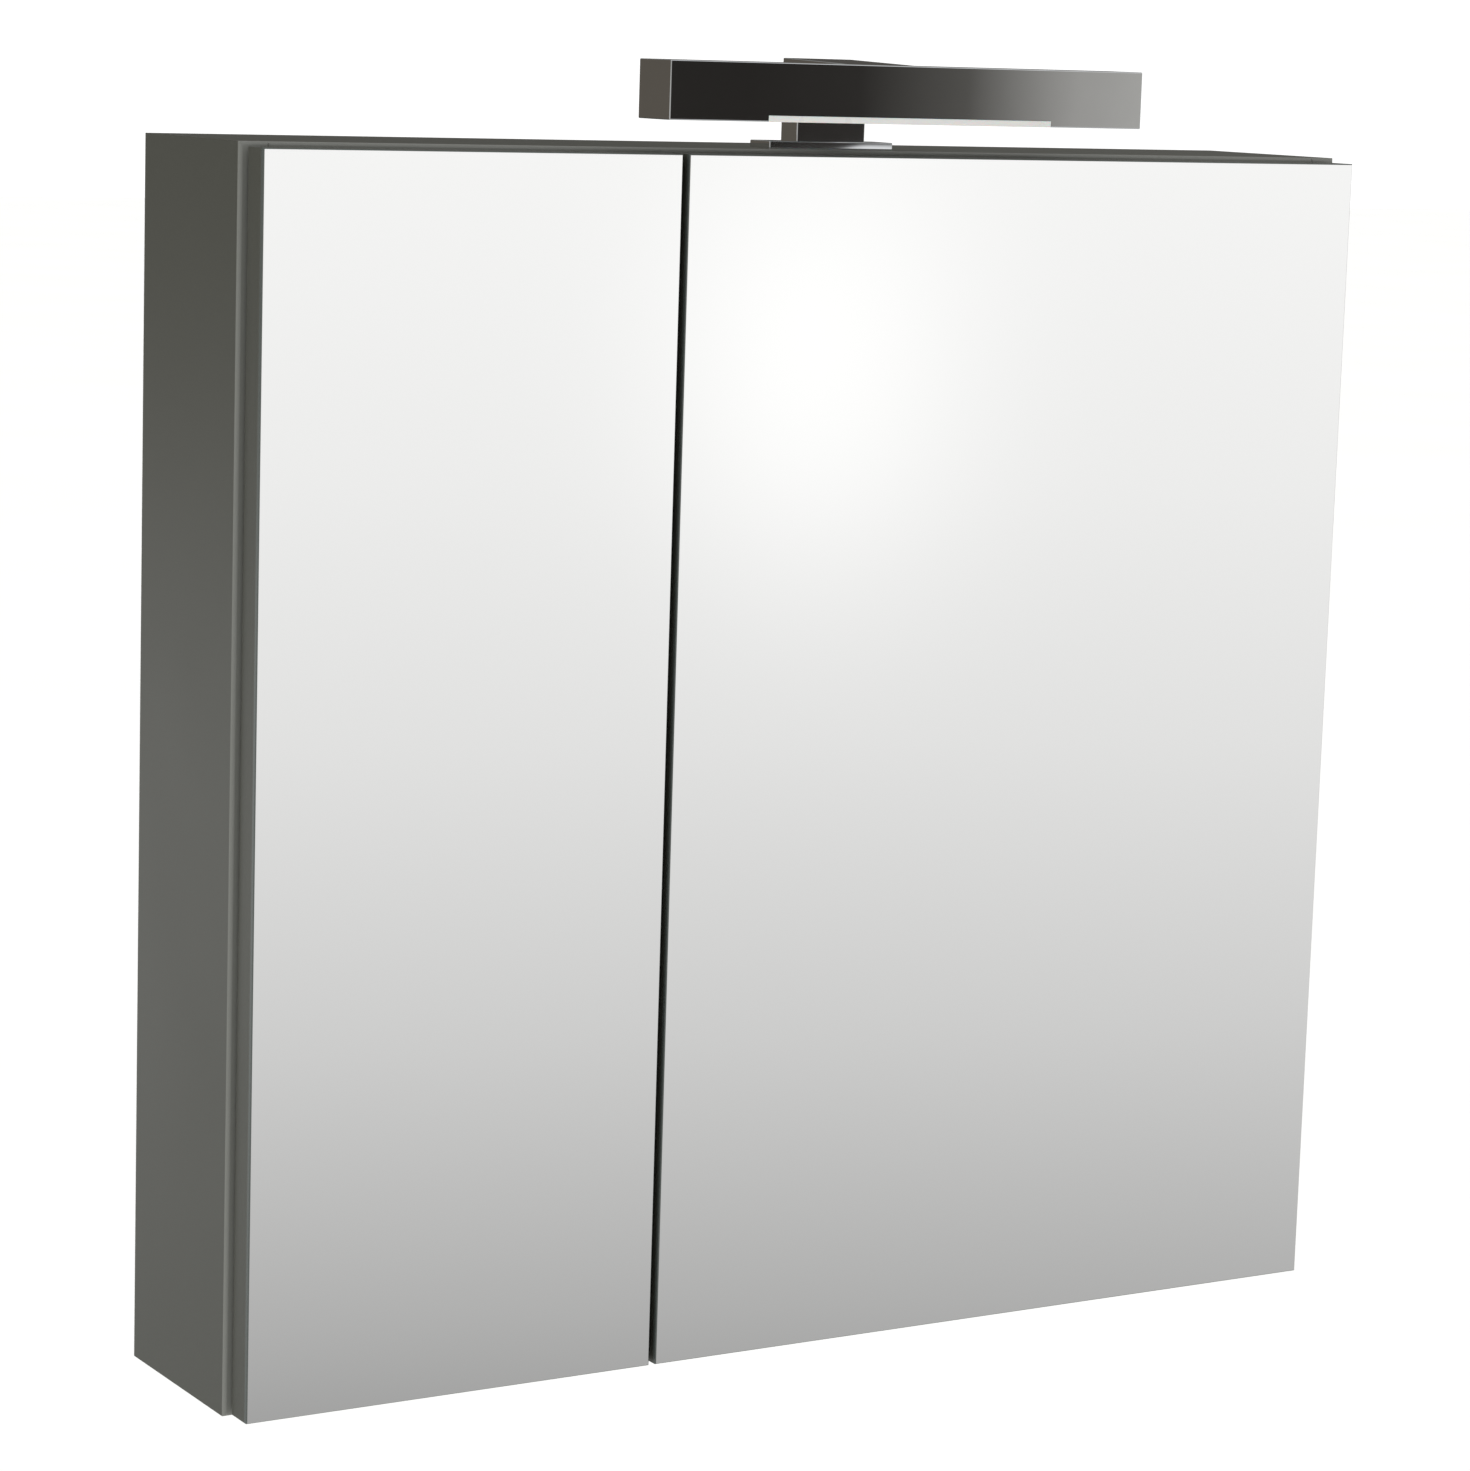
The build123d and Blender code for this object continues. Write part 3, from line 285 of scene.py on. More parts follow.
# %% [markdown]
# ## Clear shelf glass
# The shelves are 5 mm float glass with polished edges. Looked through, it is clear; looked at along
# the sheet, the iron in it gives the well-known green edge. A volume would do that by itself and cost
# many samples, so the colour is worked out from how close a point is to the rim.

# %% Float glass shelves
green_rim = 1.2 * MM


def float_glass(node):
    """Clear glass that turns green at the rim of a shelf."""
    finish, tree, shader, place = start(f"float_glass_{node}")
    low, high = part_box(node)
    offset = add(tree, "ShaderNodeVectorMath", {0: place, 1: (low + high) / 2}, operation="SUBTRACT")
    reach = add(tree, "ShaderNodeVectorMath", {0: offset.outputs[0]}, operation="ABSOLUTE")
    sheet = (high - low) / 2
    depth = add(tree, "ShaderNodeVectorMath", {0: sheet, 1: reach.outputs[0]}, operation="SUBTRACT")
    along = add(tree, "ShaderNodeSeparateXYZ", {0: depth.outputs[0]}).outputs
    least = add(tree, "ShaderNodeMath", {0: along["X"], 1: along["Y"]}, operation="MINIMUM")
    rim = add(tree, "ShaderNodeMath", {0: least.outputs[0], 1: green_rim}, operation="LESS_THAN").outputs[0]
    colour = add(
        tree,
        "ShaderNodeMix",
        {MIX_FACTOR: rim, MIX_FIRST: linear("#eef7f2"), MIX_SECOND: linear("#6fb79d")},
        data_type="RGBA",
    )
    tree.links.new(colour.outputs[MIX_RESULT], shader.inputs["Base Color"])
    film = add(tree, "ShaderNodeTexNoise", {"Vector": place, "Scale": per_metre(40), "Detail": 3.0})
    polish = add(tree, "ShaderNodeMath", {0: film.outputs[0], 1: 0.02}, operation="MULTIPLY")
    tree.links.new(polish.outputs[0], shader.inputs["Roughness"])
    shader.inputs["IOR"].default_value = 1.52
    shader.inputs["Transmission Weight"].default_value = 1.0
    return finish


for name in ("left_upper_shelf", "left_lower_shelf", "right_upper_shelf", "right_lower_shelf"):
    dress(float_glass(name), name)

# %% [markdown]
# ## Plated metals
# Four metals are on the cabinet. The lamp is polished chrome, which takes its look from what it
# reflects. The hinges and shelf pins are nickel, a warmer and softer shine. The hooks, wall plates and
# fittings are zinc plate, with cloudy patches from the bath. A few hidden pieces are plain steel. They
# differ in colour, polish and the size of their unevenness, so one function makes them all from those.

# %% Chrome, nickel, zinc and steel


def plated_metal(name, dark, light, patch_mm, smoothest, spread, scratch):
    """A metal whose colour and polish drift over patches, with fine rubbing marks."""
    finish, tree, shader, place = start(name)
    patch = add(tree, "ShaderNodeTexNoise", {"Vector": place, "Scale": per_metre(patch_mm), "Detail": 3.0})
    colour = add(
        tree,
        "ShaderNodeMix",
        {MIX_FACTOR: patch.outputs[0], MIX_FIRST: linear(dark), MIX_SECOND: linear(light)},
        data_type="RGBA",
    )
    tree.links.new(colour.outputs[MIX_RESULT], shader.inputs["Base Color"])
    drift = {0: patch.outputs[0], 1: spread, 2: smoothest}
    polish = add(tree, "ShaderNodeMath", drift, operation="MULTIPLY_ADD")
    tree.links.new(polish.outputs[0], shader.inputs["Roughness"])
    rub = add(tree, "ShaderNodeTexNoise", {"Vector": place, "Scale": per_metre(0.4), "Detail": 2.0})
    rubbed = {"Height": rub.outputs[0], "Strength": scratch, "Distance": 0.02 * MM}
    marks = add(tree, "ShaderNodeBump", rubbed)
    tree.links.new(marks.outputs["Normal"], shader.inputs["Normal"])
    shader.inputs["Metallic"].default_value = 1.0
    return finish


chrome = plated_metal("polished_chrome", "#d2d4d6", "#dcdee0", 30, 0.008, 0.012, 0.0)
nickel = plated_metal("nickel_plate", "#cbc9c4", "#dcdad6", 20, 0.2, 0.1, 0.05)
zinc = plated_metal("bright_zinc_plate", "#a9adb2", "#c6c9cd", 6, 0.26, 0.2, 0.2)
steel = plated_metal("plain_steel", "#8d8e90", "#a2a3a5", 8, 0.3, 0.15, 0.2)
dress(chrome, "lamp_housing", "lamp_left_cap", "lamp_right_cap")
dress(chrome, "lamp_base_plate", "lamp_neck", "lamp_base_screws")
hinge_parts = ["hinge_arms", "hinge_plates", "hinge_cups", "hinge_pins", "hinge_cup_screws", "shelf_pins"]
dress(nickel, *[f"{side}_{part}" for side in ("left", "right") for part in hinge_parts])
dress(nickel, "hinge_plate_screws", "hinge_arm_screws")
dress(zinc, "cam_bolts", "cam_discs", "hanger_screws", "driver_cover_screws", "driver_box_screws")
dress(zinc, "left_hanger_hook", "right_hanger_hook", "left_wall_plate", "right_wall_plate")
dress(steel, "lamp_neck_screws", "switch_axle")

# %% [markdown]
# ## Moulded plastics and rubbers
# The hangers, the driver box and the terminal block are white ABS from a spark-eroded mould, which
# leaves a fine even grain. The rocker is glossier black polycarbonate, the lamp's strip is opal
# acrylic that light sinks into, and the bumpers and grommet are soft. All of them are a base colour,
# a grain of some size and a sheen, so they share a function.

# %% Plastics


def moulded(name, dark, light, grain_mm, rough, bump):
    """A moulded plastic or rubber with a fine grain from its mould."""
    finish, tree, shader, place = start(name)
    grain = add(tree, "ShaderNodeTexNoise", {"Vector": place, "Scale": per_metre(grain_mm), "Detail": 3.0})
    colour = add(
        tree,
        "ShaderNodeMix",
        {MIX_FACTOR: grain.outputs[0], MIX_FIRST: linear(dark), MIX_SECOND: linear(light)},
        data_type="RGBA",
    )
    tree.links.new(colour.outputs[MIX_RESULT], shader.inputs["Base Color"])
    sheen = add(tree, "ShaderNodeMath", {0: grain.outputs[0], 1: 0.1, 2: rough}, operation="MULTIPLY_ADD")
    tree.links.new(sheen.outputs[0], shader.inputs["Roughness"])
    press = add(tree, "ShaderNodeBump", {"Height": grain.outputs[0], "Strength": bump, "Distance": 0.05 * MM})
    tree.links.new(press.outputs["Normal"], shader.inputs["Normal"])
    return finish


white_abs = moulded("white_abs", "#dcdcd7", "#e6e6e2", 0.6, 0.4, 0.3)
black_pc = moulded("black_polycarbonate", "#121212", "#1a1a1a", 0.8, 0.22, 0.05)
opal = moulded("opal_acrylic", "#cdcdca", "#d5d5d2", 14, 0.24, 0.0)
opal.node_tree.nodes["Principled BSDF"].inputs["Subsurface Weight"].default_value = 0.35
opal.node_tree.nodes["Principled BSDF"].inputs["Subsurface Scale"].default_value = 3 * MM
black_rubber = moulded("epdm_rubber", "#161616", "#202020", 0.5, 0.6, 0.3)
clear_rubber = moulded("clear_polyurethane", "#cfcfc9", "#dadad4", 2, 0.25, 0.1)
clear_rubber.node_tree.nodes["Principled BSDF"].inputs["Transmission Weight"].default_value = 0.5
dress(white_abs, "left_hanger", "right_hanger", "driver_box", "driver_box_cover", "terminal_block")
dress(black_pc, "switch_rocker")
dress(opal, "lamp_diffuser")
dress(black_rubber, "cable_grommet")
dress(clear_rubber, "left_door_bumpers", "right_door_bumpers")

# %% [markdown]
# ## Circuit boards and wood
# The LED board has a white mask so that it throws light back, and the driver board a green one over
# copper tracks. The dowels are beech, turned with shallow flutes. None of them shows from outside,
# but anyone who opens the lamp or the joints of the cabinet meets them.

# %% Boards, LEDs and dowels


def circuit_board(name, mask, track, track_mm):
    """A circuit board: solder mask with slightly lighter tracks under it."""
    finish, tree, shader, place = start(name)
    tracks = add(tree, "ShaderNodeTexBrick", {"Vector": place, "Scale": per_metre(track_mm)})
    tracks.inputs["Color1"].default_value = linear(mask)
    tracks.inputs["Color2"].default_value = linear(mask)
    tracks.inputs["Mortar"].default_value = linear(track)
    tree.links.new(tracks.outputs["Color"], shader.inputs["Base Color"])
    gloss = add(tree, "ShaderNodeMath", {0: tracks.outputs["Fac"], 1: 0.1, 2: 0.28}, operation="MULTIPLY_ADD")
    tree.links.new(gloss.outputs[0], shader.inputs["Roughness"])
    return finish


def turned_beech():
    """Pale beech with fine pores along the dowel."""
    finish, tree, shader, place = start("turned_beech")
    pores = add(tree, "ShaderNodeTexNoise", {"Vector": place, "Scale": per_metre(1.5), "Detail": 5.0})
    colour = add(
        tree,
        "ShaderNodeMix",
        {MIX_FACTOR: pores.outputs[0], MIX_FIRST: linear("#c79c68"), MIX_SECOND: linear("#d9b687")},
        data_type="RGBA",
    )
    tree.links.new(colour.outputs[MIX_RESULT], shader.inputs["Base Color"])
    shader.inputs["Roughness"].default_value = 0.6
    return finish


dress(circuit_board("white_fr4", "#e9e9e4", "#d4d4cf", 6), "led_board")
dress(circuit_board("green_fr4", "#12502a", "#1f7a41", 5), "driver_board")
dress(moulded("led_phosphor", "#d9b93a", "#ead071", 0.8, 0.3, 0.1), "led_chips")
dress(turned_beech(), "panel_dowels")

# %% [markdown]
# ## Marks on the rocker
# A mains switch shows a bar for on and a ring for off. They are printed on the rocker in thick white ink
# that stands a little proud. A picture could be projected on, but it would need an image file, so the
# bar is a bevelled block and the ring a small section spun once round. A ray finds the tilted face
# under each mark. The lower half is the one that is pressed for on.

# %% Bar and ring in white ink
ink_height = 0.2 * MM
ink_sunk = 0.1 * MM
bar_width, bar_length = 0.9 * MM, 4.2 * MM
ring_radius, ring_stroke = 1.9 * MM, 0.9 * MM
ink_round = 0.08 * MM
clear_of_face = 10 * MM
into_cabinet = Vector((0, 1, 0))


def stand_on(node, eye, gaze):
    """A frame on the face of a CAD node that a ray meets: X to the right of the face, Z out of it."""
    place, out = nodes[node].ray_cast(eye, gaze)[1:3]
    across = Vector((0, 0, 1)).cross(out).normalized()
    turn_to_face = Matrix((across, out.cross(across), out)).transposed().to_4x4()
    return Matrix.Translation(place) @ turn_to_face


def finish_piece(name, shape, finish, body):
    """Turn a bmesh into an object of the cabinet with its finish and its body."""
    bmesh.ops.recalc_face_normals(shape, faces=shape.faces)
    mesh = bpy.data.meshes.new(name)
    shape.to_mesh(mesh)
    shape.free()
    mesh.materials.append(finish)
    piece = bpy.data.objects.new(name, mesh)
    bpy.context.scene.collection.objects.link(piece)
    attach(piece, body)
    print(name, "with", len(mesh.polygons), "faces on", body)


low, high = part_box("switch_rocker")
middle = (low + high) / 2
half_way = (high.z - low.z) / 4
before = low.y - clear_of_face
bar_face = stand_on("switch_rocker", Vector((middle.x, before, middle.z - half_way)), into_cabinet)
ring_face = stand_on("switch_rocker", Vector((middle.x, before, middle.z + half_way)), into_cabinet)

marks = bmesh.new()
bar = bmesh.ops.create_cube(marks, size=1)["verts"]
bmesh.ops.scale(marks, vec=(bar_width, bar_length, ink_height + ink_sunk), verts=bar)
bmesh.ops.translate(marks, vec=(0, 0, (ink_height - ink_sunk) / 2), verts=bar)
bmesh.ops.bevel(
    marks, geom=marks.edges, offset=ink_round, affect="EDGES", segments=2, profile=0.5, material=-1
)
bmesh.ops.transform(marks, matrix=bar_face, verts=marks.verts)

ring = bmesh.new()
bmesh.ops.create_circle(ring, segments=12, radius=0.5)
bmesh.ops.scale(ring, vec=(ring_stroke, ink_height + ink_sunk, 1), verts=ring.verts)
bmesh.ops.rotate(ring, matrix=Matrix.Rotation(math.pi / 2, 3, "X"), verts=ring.verts)
bmesh.ops.translate(ring, vec=(ring_radius, 0, (ink_height - ink_sunk) / 2), verts=ring.verts)
section = ring.verts[:] + ring.edges[:]
bmesh.ops.spin(ring, geom=section, axis=(0, 0, 1), cent=(0, 0, 0), angle=math.tau, steps=48, use_merge=True)
bmesh.ops.transform(ring, matrix=ring_face, verts=ring.verts)

white_ink = moulded("white_printing_ink", "#e4e4e0", "#efefec", 0.4, 0.35, 0.1)
finish_piece("rocker_on_bar", marks, white_ink, "rocker")
finish_piece("rocker_off_ring", ring, white_ink, "rocker")

# %% [markdown]
# ## Bezel of the switch
# The rocker comes in a frame that snaps into the cover and hides the sawn edge of its opening. It could be
# a box with a hole, but a flat sheet that is inset, opened and raised keeps its corners and walls even.

# %% Snap-in bezel
bezel_width, bezel_height = 23.6 * MM, 28.6 * MM
bezel_border, bezel_depth = 1.7 * MM, 1.2 * MM
bezel_corner, bezel_round = 2.2 * MM, 0.4 * MM
square_edge = math.radians(60)


def raised(shape, faces, height):
    """Extrude loose faces straight up into closed blocks."""
    grown = bmesh.ops.extrude_face_region(shape, geom=faces)["geom"]
    tops = [part for part in grown if isinstance(part, bmesh.types.BMVert)]
    bmesh.ops.translate(shape, vec=(0, 0, height), verts=tops)


bezel = bmesh.new()
bmesh.ops.create_grid(bezel, x_segments=1, y_segments=1, size=0.5)
bmesh.ops.scale(bezel, vec=(bezel_width, bezel_height, 1), verts=bezel.verts)
bmesh.ops.bevel(
    bezel, geom=bezel.verts, offset=bezel_corner, affect="VERTICES", segments=4, profile=0.5, material=-1
)
sheet_face = bezel.faces[:]
bmesh.ops.inset_region(
    bezel, faces=sheet_face, thickness=bezel_border, use_boundary=True, use_even_offset=True
)
bmesh.ops.delete(bezel, geom=sheet_face, context="FACES")
raised(bezel, bezel.faces[:], bezel_depth)
front_rim = [edge for edge in bezel.edges if min(corner.co.z for corner in edge.verts) > bezel_depth / 2]
rim_only = [edge for edge in front_rim if edge.calc_face_angle(0) > square_edge]
bmesh.ops.bevel(
    bezel, geom=rim_only, offset=bezel_round, affect="EDGES", segments=3, profile=0.5, material=-1
)
axle_low, axle_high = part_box("switch_axle")
cover_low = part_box("driver_box_cover")[0]
seat = (axle_low + axle_high) / 2
seat.y = cover_low.y
bmesh.ops.rotate(bezel, matrix=Matrix.Rotation(math.pi / 2, 3, "X"), verts=bezel.verts)
bmesh.ops.translate(bezel, vec=seat, verts=bezel.verts)
finish_piece("switch_bezel", bezel, black_pc, "cabinet")

# %% [markdown]
# ## Adjusting screws of the hinges
# A cup hinge has two screws on its arm. The rear one clamps the arm and is in the CAD model. The front one
# sets the door sideways: a flat head with one slot, on the face of the arm, that is turned now and then. A
# slot could be cut with a boolean, but a disc and two halves of a second disc on top of it leave the same
# slot open and stay clean.

# %% Slotted heads
head_radius, head_height = 2.9 * MM, 1.3 * MM
disc_height = 0.6 * MM
slot_half = 0.45 * MM
head_round = 0.2 * MM
from_clamp = 16 * MM
pad_height = 13 * MM


def slotted_head():
    """A screw head that stands on the origin: a disc, and two half discs with the slot between them."""
    head = bmesh.new()
    bmesh.ops.create_circle(head, cap_ends=True, segments=32, radius=head_radius)
    raised(head, head.faces[:], disc_height)
    for side in (-1, 1):
        known = set(head.faces)
        bmesh.ops.create_circle(head, cap_ends=True, segments=32, radius=head_radius)
        half = [face for face in head.faces if face not in known]
        corners = {corner for face in half for corner in face.verts}
        bmesh.ops.translate(head, vec=(0, 0, disc_height), verts=list(corners))
        whole = half + list({edge for face in half for edge in face.edges}) + list(corners)
        bmesh.ops.bisect_plane(
            head, geom=whole, plane_co=(side * slot_half, 0, 0), plane_no=(side, 0, 0), clear_inner=True
        )
        raised(head, [face for face in head.faces if face not in known], head_height - disc_height)
    rim = [edge for edge in head.edges if min(v.co.z for v in edge.verts) > disc_height + head_round]
    bmesh.ops.bevel(head, geom=rim, offset=head_round, affect="EDGES", segments=2, profile=0.5, material=-1)
    return head


clamp_low, clamp_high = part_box("hinge_arm_screws")
adjuster_y = (clamp_low.y + clamp_high.y) / 2 - from_clamp
adjusters = bmesh.new()
for side in ("left", "right"):
    low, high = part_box(f"{side}_hinge_arms")
    outward = Vector((-1 if side == "left" else 1, 0, 0))
    for z in (low.z + pad_height / 2, high.z - pad_height / 2):
        face = stand_on(f"{side}_hinge_arms", Vector((0, adjuster_y, z)), outward)
        head = slotted_head()
        bmesh.ops.transform(head, matrix=face, verts=head.verts)
        turned = bpy.data.meshes.new("adjuster")
        head.to_mesh(turned)
        head.free()
        adjusters.from_mesh(turned)
        bpy.data.meshes.remove(turned)
finish_piece("hinge_adjusting_screws", adjusters, nickel, "cabinet")

# %% [markdown]
# ## The studio
# The photograph is a cut-out on white, with a grey-to-white sweep in the mirrors, nearly black chrome
# on the lamp's front and a dark reflection in the cabinet's side. A studio gets that from a white room
# with a graded backdrop and black flags. Cards could be stood around the cabinet, but they would get
# into the other views, so the floor is a plain pale sheet and the backdrop is painted on the world,
# where only reflections see it.

# %% Pale floor
floor_drop = 1.1
floor_size = 80
floor_z = cad_box[0][2] - floor_drop

floor_mesh = bpy.data.meshes.new("studio_floor")
sheet = bmesh.new()
bmesh.ops.create_grid(sheet, x_segments=1, y_segments=1, size=floor_size / 2)
bmesh.ops.translate(sheet, vec=(0, 0, floor_z), verts=sheet.verts)
sheet.to_mesh(floor_mesh)
sheet.free()
floor = bpy.data.objects.new("studio_floor", floor_mesh)
bpy.context.scene.collection.objects.link(floor)
floor.visible_glossy = False

paint, tree, shader, place = start("pale_floor_paint")
mottle = add(tree, "ShaderNodeTexNoise", {"Vector": place, "Scale": per_metre(900), "Detail": 2.0})
pale = add(
    tree,
    "ShaderNodeMix",
    {MIX_FACTOR: mottle.outputs[0], MIX_FIRST: linear("#f6f6f4"), MIX_SECOND: linear("#fafaf9")},
    data_type="RGBA",
)
tree.links.new(pale.outputs[MIX_RESULT], shader.inputs["Base Color"])
shader.inputs["Roughness"].default_value = 0.9
floor_mesh.materials.append(paint)
print("floor at", round(floor_z, 3), "m")

# %% [markdown]
# ## The backdrop that reflections see
# A direction in the world has a rise, the sine of its elevation, and a heading, counted from straight
# in front of the cabinet towards its right. The backdrop could be a picture wrapped around the world, but
# a few graded layers need no file and are easy to tune. Each of them is a curve over the rise or the
# heading, so the first step works out both for the way that a ray goes.

# %% Directions in the room
scene = bpy.context.scene
scene.view_settings.view_transform = "Standard"


def rise(degrees):
    """Where an elevation lies between 0, straight down, and 1, straight up."""
    return (math.sin(math.radians(degrees)) + 1) / 2


def turn(degrees):
    """Where a heading lies between 0 and 1, both straight behind the cabinet."""
    return degrees / 360 + 0.5


def graded(tree, position, stops):
    """A ramp of sRGB greys over a position, from (position, hex) pairs."""
    ramp = add(tree, "ShaderNodeValToRGB", {"Fac": position})
    elements = ramp.color_ramp.elements
    while len(elements) < len(stops):
        elements.new(1.0)
    for element, (where, grey) in zip(elements, stops):
        element.position = where
        element.color = linear(grey)
    return ramp.outputs["Color"]


def between(tree, position, none, full):
    """Nought at one position, rising or falling smoothly to one at the other."""
    limits = {"Value": position, "From Min": none, "From Max": full}
    return add(tree, "ShaderNodeMapRange", limits, interpolation_type="SMOOTHSTEP").outputs[0]


world = bpy.data.worlds.new("white_room")
scene.world = world
world.use_nodes = True
room = world.node_tree
room.nodes.clear()
gaze = add(room, "ShaderNodeTexCoord").outputs["Generated"]
way = add(room, "ShaderNodeSeparateXYZ", {0: gaze}).outputs
height = add(room, "ShaderNodeMath", {0: way["Z"], 1: 0.5, 2: 0.5}, operation="MULTIPLY_ADD").outputs[0]
ahead = add(room, "ShaderNodeMath", {0: way["Y"], 1: -1.0}, operation="MULTIPLY").outputs[0]
radians = add(room, "ShaderNodeMath", {0: way["X"], 1: ahead}, operation="ARCTAN2").outputs[0]
turns = {0: radians, 1: 1 / math.tau, 2: 0.5}
heading = add(room, "ShaderNodeMath", turns, operation="MULTIPLY_ADD").outputs[0]


def around(middle, half, soft):
    """One around a heading, falling smoothly to nought half degrees to either side of it."""
    aside = add(room, "ShaderNodeMath", {0: heading, 1: turn(middle)}, operation="SUBTRACT")
    aside = add(room, "ShaderNodeMath", {0: aside.outputs[0]}, operation="ABSOLUTE").outputs[0]
    return between(room, aside, turn(half) - turn(0), turn(half - soft) - turn(0))


print("directions from", len(room.nodes), "nodes")

# %% [markdown]
# ## Sweep and soft lamp
# The mirrors show a sheet that is white at eye level and grey towards the floor, with the round glow of a
# lamp in it. A ramp over the rise gives the greys. It is squeezed sideways, so that they run flatter across
# the mirrors, as those of a straight sheet do. The glow is a bell curve over the rise and the heading that
# raises the strength. The strength also makes up for the share of the light that a mirror swallows.

# %% Sweep of greys with a soft lamp in it
mirror_share = 0.9
glow_heading, glow_elevation = 31.9, -4.5
glow_width, glow_height, glow_gain = 2.1, 3.0, 0.16
squeeze = (0.7, 1, 1)

sweep_stops = [(-90, "#d8d8d6"), (-45, "#c0c0be"), (-26, "#9c9c9b"), (-20, "#959595"), (-17.8, "#aeaeae")]
sweep_stops += [(-13.9, "#cccccc"), (-9.9, "#e0e0e0"), (-6.1, "#ececec"), (-3.4, "#f1f1f1")]
sweep_stops += [(-0.4, "#f6f6f6"), (30, "#ffffff"), (55, "#c8c8c8"), (90, "#8c8c8c")]
squeezed = add(room, "ShaderNodeVectorMath", {0: gaze, 1: squeeze}, operation="MULTIPLY").outputs[0]
squeezed = add(room, "ShaderNodeVectorMath", {0: squeezed}, operation="NORMALIZE").outputs[0]
sine = add(room, "ShaderNodeSeparateXYZ", {0: squeezed}).outputs["Z"]
level = add(room, "ShaderNodeMath", {0: sine, 1: 0.5, 2: 0.5}, operation="MULTIPLY_ADD").outputs[0]
greys = graded(room, level, [(rise(degrees), grey) for degrees, grey in sweep_stops])

beside = add(room, "ShaderNodeMath", {0: heading, 1: turn(glow_heading)}, operation="SUBTRACT")
above = add(room, "ShaderNodeMath", {0: height, 1: rise(glow_elevation)}, operation="SUBTRACT")
wide = turn(glow_width) - turn(0)
tall = rise(glow_height) - rise(0)
beside = add(room, "ShaderNodeMath", {0: beside.outputs[0], 1: wide}, operation="DIVIDE")
above = add(room, "ShaderNodeMath", {0: above.outputs[0], 1: tall}, operation="DIVIDE")
offset = add(room, "ShaderNodeCombineXYZ", {0: beside.outputs[0], 1: above.outputs[0]}).outputs[0]
square = add(room, "ShaderNodeVectorMath", {0: offset, 1: offset}, operation="DOT_PRODUCT")
minus = add(room, "ShaderNodeMath", {0: square.outputs["Value"], 1: -1.0}, operation="MULTIPLY")
bell = add(room, "ShaderNodeMath", {0: minus.outputs[0]}, operation="EXPONENT")
gain = {0: bell.outputs[0], 1: glow_gain / mirror_share, 2: 1 / mirror_share}
strength = add(room, "ShaderNodeMath", gain, operation="MULTIPLY_ADD")
sweep = add(room, "ShaderNodeBackground", {"Color": greys, "Strength": strength.outputs[0]})
print("sweep of", len(sweep_stops), "greys")

# %% [markdown]
# ## Grey card
# Chrome that faces upwards mirrors the room above the back of the cabinet. White there would make it fade
# into the white room, and black would make it look like painted metal, so a grey card hangs there. From
# here on the strengths make up for what chrome swallows, so that each grey is the one that chrome shows.

# %% Grey card above the back
chrome_share = 0.7
back_soft = 0.2
card_foot, card_full, card_fade, card_top = 2, 10, 45, 65

behind = between(room, ahead, back_soft, -back_soft)
rising = between(room, height, rise(card_foot), rise(card_full))
ending = between(room, height, rise(card_top), rise(card_fade))
on_grey = add(room, "ShaderNodeMath", {0: behind, 1: rising}, operation="MULTIPLY")
on_grey = add(room, "ShaderNodeMath", {0: on_grey.outputs[0], 1: ending}, operation="MULTIPLY")
grey = add(room, "ShaderNodeBackground", {"Color": linear("#7e7e7c"), "Strength": 1 / chrome_share})
layers = {0: on_grey.outputs[0], 1: sweep.outputs[0], 2: grey.outputs[0]}
above_back = add(room, "ShaderNodeMixShader", layers)
print("grey card up to", card_top, "degrees")

# %% [markdown]
# ## Dark band
# The lamp's front is nearly black on the left and light on the right. It mirrors a band from eye level
# upwards that goes once around the room. Ahead and to the right, where the lamp's front looks, the band is
# black with a sharp foot, and the foot is sharp behind the cabinet too. Elsewhere it fades in softly, so
# that the mirrors stay light for whoever looks from another side. The foot is a slope, so much height for
# each metre, because the lower edge of a level card looks so from the cabinet. On the right it steps up a
# little, and the end of the lamp's base plate catches the white below it.

# %% Dark band at eye level
band_foot, band_full = -0.0306, -0.0294
step_start, step_end, step_up = 31.8, 32.5, 0.0022
soft_foot, soft_full = -9, 1
black_heading, black_half, black_soft = 32, 20, 9
band_fade, band_top = 12, 30

band_stops = [(-180, "#4a4844"), (-150, "#544f48"), (-110, "#6a6762"), (-60, "#9a9894"), (12, "#9e9d9a")]
band_stops += [(23, "#292725"), (31.9, "#262422"), (32.9, "#32302e"), (34.2, "#5c5a56"), (35.5, "#a6a4a0")]
band_stops += [(40, "#b6b4b0"), (60, "#a4a3a0"), (90, "#6e6c68"), (150, "#3e3c39"), (180, "#44423e")]
greys = graded(room, heading, [(turn(degrees), grey) for degrees, grey in band_stops])
band = add(room, "ShaderNodeBackground", {"Color": greys, "Strength": 1 / chrome_share})
reach = add(room, "ShaderNodeMath", {0: way["Y"]}, operation="ABSOLUTE").outputs[0]
slope = add(room, "ShaderNodeMath", {0: way["Z"], 1: reach}, operation="DIVIDE").outputs[0]
stepped = between(room, heading, turn(step_start), turn(step_end))
lowered = {0: stepped, 1: -step_up, 2: slope}
slope = add(room, "ShaderNodeMath", lowered, operation="MULTIPLY_ADD").outputs[0]
sharp = between(room, slope, band_foot, band_full)
soft = between(room, height, rise(soft_foot), rise(soft_full))
on_black = around(black_heading, black_half, black_soft)
crisp = add(room, "ShaderNodeMath", {0: on_black, 1: behind}, operation="MAXIMUM").outputs[0]
foot = add(room, "ShaderNodeMapRange", {"Value": crisp, "To Min": soft, "To Max": sharp}).outputs[0]
top = between(room, height, rise(band_top), rise(band_fade))
in_band = add(room, "ShaderNodeMath", {0: foot, 1: top}, operation="MULTIPLY")
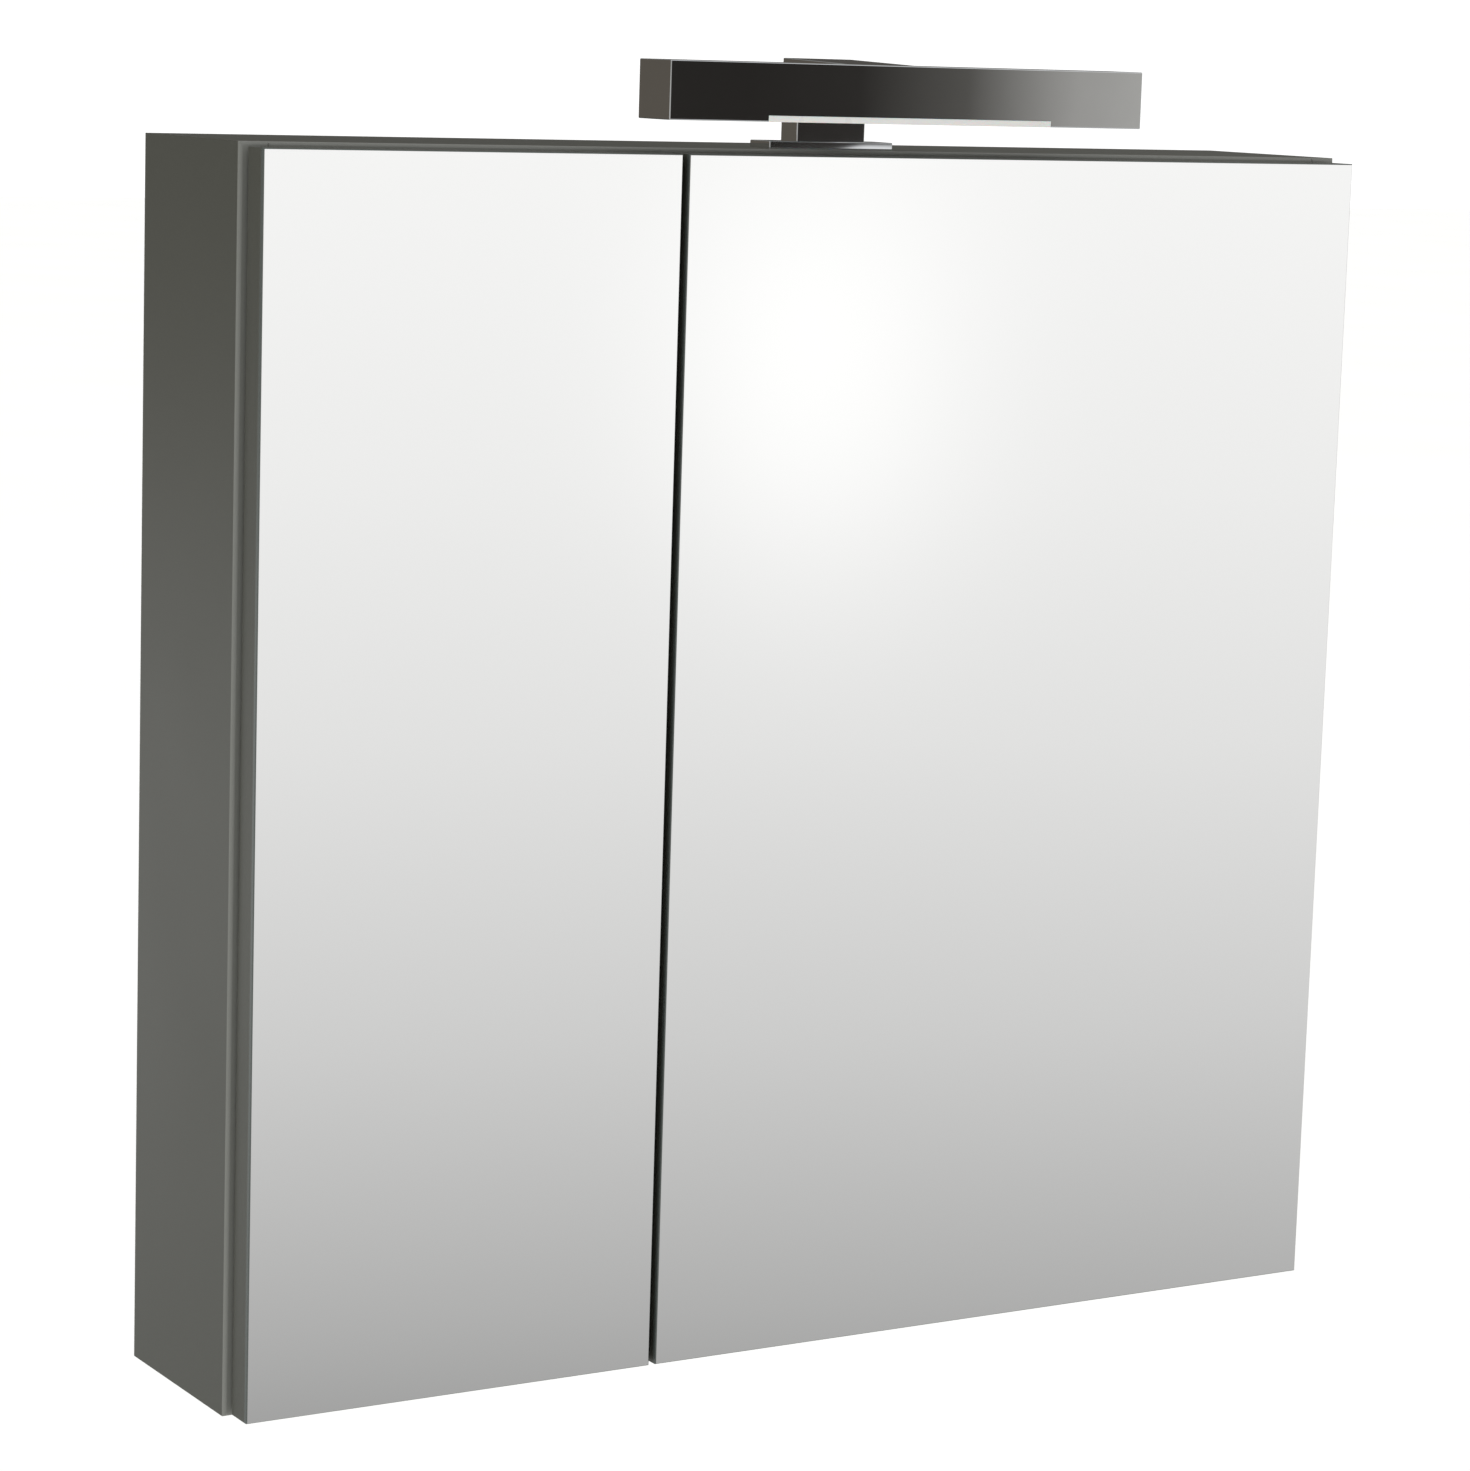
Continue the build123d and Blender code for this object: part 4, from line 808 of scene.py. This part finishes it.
layers = {0: in_band.outputs[0], 1: above_back.outputs[0], 2: band.outputs[0]}
backdrop = add(room, "ShaderNodeMixShader", layers)
print("band of", len(band_stops), "greys")

# %% [markdown]
# ## Flags
# A photographer hangs black cloth to darken one side of a shiny object. A flag behind and to the left hangs
# lower than the band and darkens the upper part of the cabinet's side. A second one on the right draws the
# edges of the chrome for whoever looks from there.

# %% Flags on both sides
flag_half, flag_soft = 45, 25


def hang_flag(scenery, shade, middle, lowest, full):
    """Hang a flag around a heading, which fades in from its lowest elevation to where it is full."""
    flag = add(room, "ShaderNodeBackground", {"Color": linear(shade), "Strength": 1 / chrome_share})
    across = around(middle, flag_half, flag_soft)
    up = between(room, height, rise(lowest), rise(full))
    down = between(room, height, rise(band_top), rise(band_fade))
    inside = add(room, "ShaderNodeMath", {0: across, 1: up}, operation="MULTIPLY")
    inside = add(room, "ShaderNodeMath", {0: inside.outputs[0], 1: down}, operation="MULTIPLY")
    print("flag at", middle, "degrees, from", lowest, "degrees up")
    layers = {0: inside.outputs[0], 1: scenery.outputs[0], 2: flag.outputs[0]}
    return add(room, "ShaderNodeMixShader", layers)


backdrop = hang_flag(backdrop, "#544f48", middle=-150, lowest=-9.5, full=-3.4)
backdrop = hang_flag(backdrop, "#6c6b68", middle=105, lowest=-16, full=-2)

# %% [markdown]
# ## White room
# All of that is for reflections alone. What the camera sees around the cabinet, and what lights it, is a
# plain white room. Light Path tells the two kinds of ray apart.

# %% White room around it
room_strength = 1.12

plain = add(room, "ShaderNodeBackground", {"Color": linear("#ffffff"), "Strength": room_strength})
seen = add(room, "ShaderNodeLightPath").outputs["Is Glossy Ray"]
both = add(room, "ShaderNodeMixShader", {0: seen, 1: plain.outputs[0], 2: backdrop.outputs[0]})
add(room, "ShaderNodeOutputWorld", {"Surface": both.outputs[0]})
print("room of", len(room.nodes), "nodes")

# %% [markdown]
# ## Soft lamp
# The white room lights everything evenly, as a light tent would. One soft lamp low on the left lifts the
# foot of the cabinet's side, as in the photograph, and reflections don't see it.

# %% Soft lamp low on the left
lamp_place = Vector((-1.5, -0.7, -1.2))
lamp_aim = Vector((-0.35, -0.06, -0.5))
lamp_width, lamp_watts = 0.7, 5

soft_data = bpy.data.lights.new("soft_lamp", "AREA")
soft_data.shape = "DISK"
soft_data.size = lamp_width
soft_data.energy = lamp_watts
soft_lamp = bpy.data.objects.new("soft_lamp", soft_data)
soft_lamp.location = lamp_place
soft_lamp.rotation_euler = (lamp_aim - lamp_place).to_track_quat("-Z", "Y").to_euler()
soft_lamp.visible_glossy = False
scene.collection.objects.link(soft_lamp)
print("soft lamp at", list(lamp_place), "of", lamp_watts, "W")

# %% [markdown]
# ## Camera
# The camera stands left of the cabinet, at the lamp's height, and looks down a little. Its place, turn and
# focal length were fitted to the cabinet's edges in the photograph.

# %% Camera
camera_place = (-1.2744, -2.1633, 0.1198)
camera_turn = (80.916, -1.757, -30.706)
focal_length, sensor_width = 107.09, 36.0

camera_data = bpy.data.cameras.new("camera")
camera_data.sensor_fit = "HORIZONTAL"
camera_data.sensor_width = sensor_width
camera_data.lens = focal_length
camera = bpy.data.objects.new("camera", camera_data)
camera.location = camera_place
camera.rotation_euler = [math.radians(angle) for angle in camera_turn]
scene.collection.objects.link(camera)
scene.camera = camera
print("camera at", camera_place, "lens", focal_length)
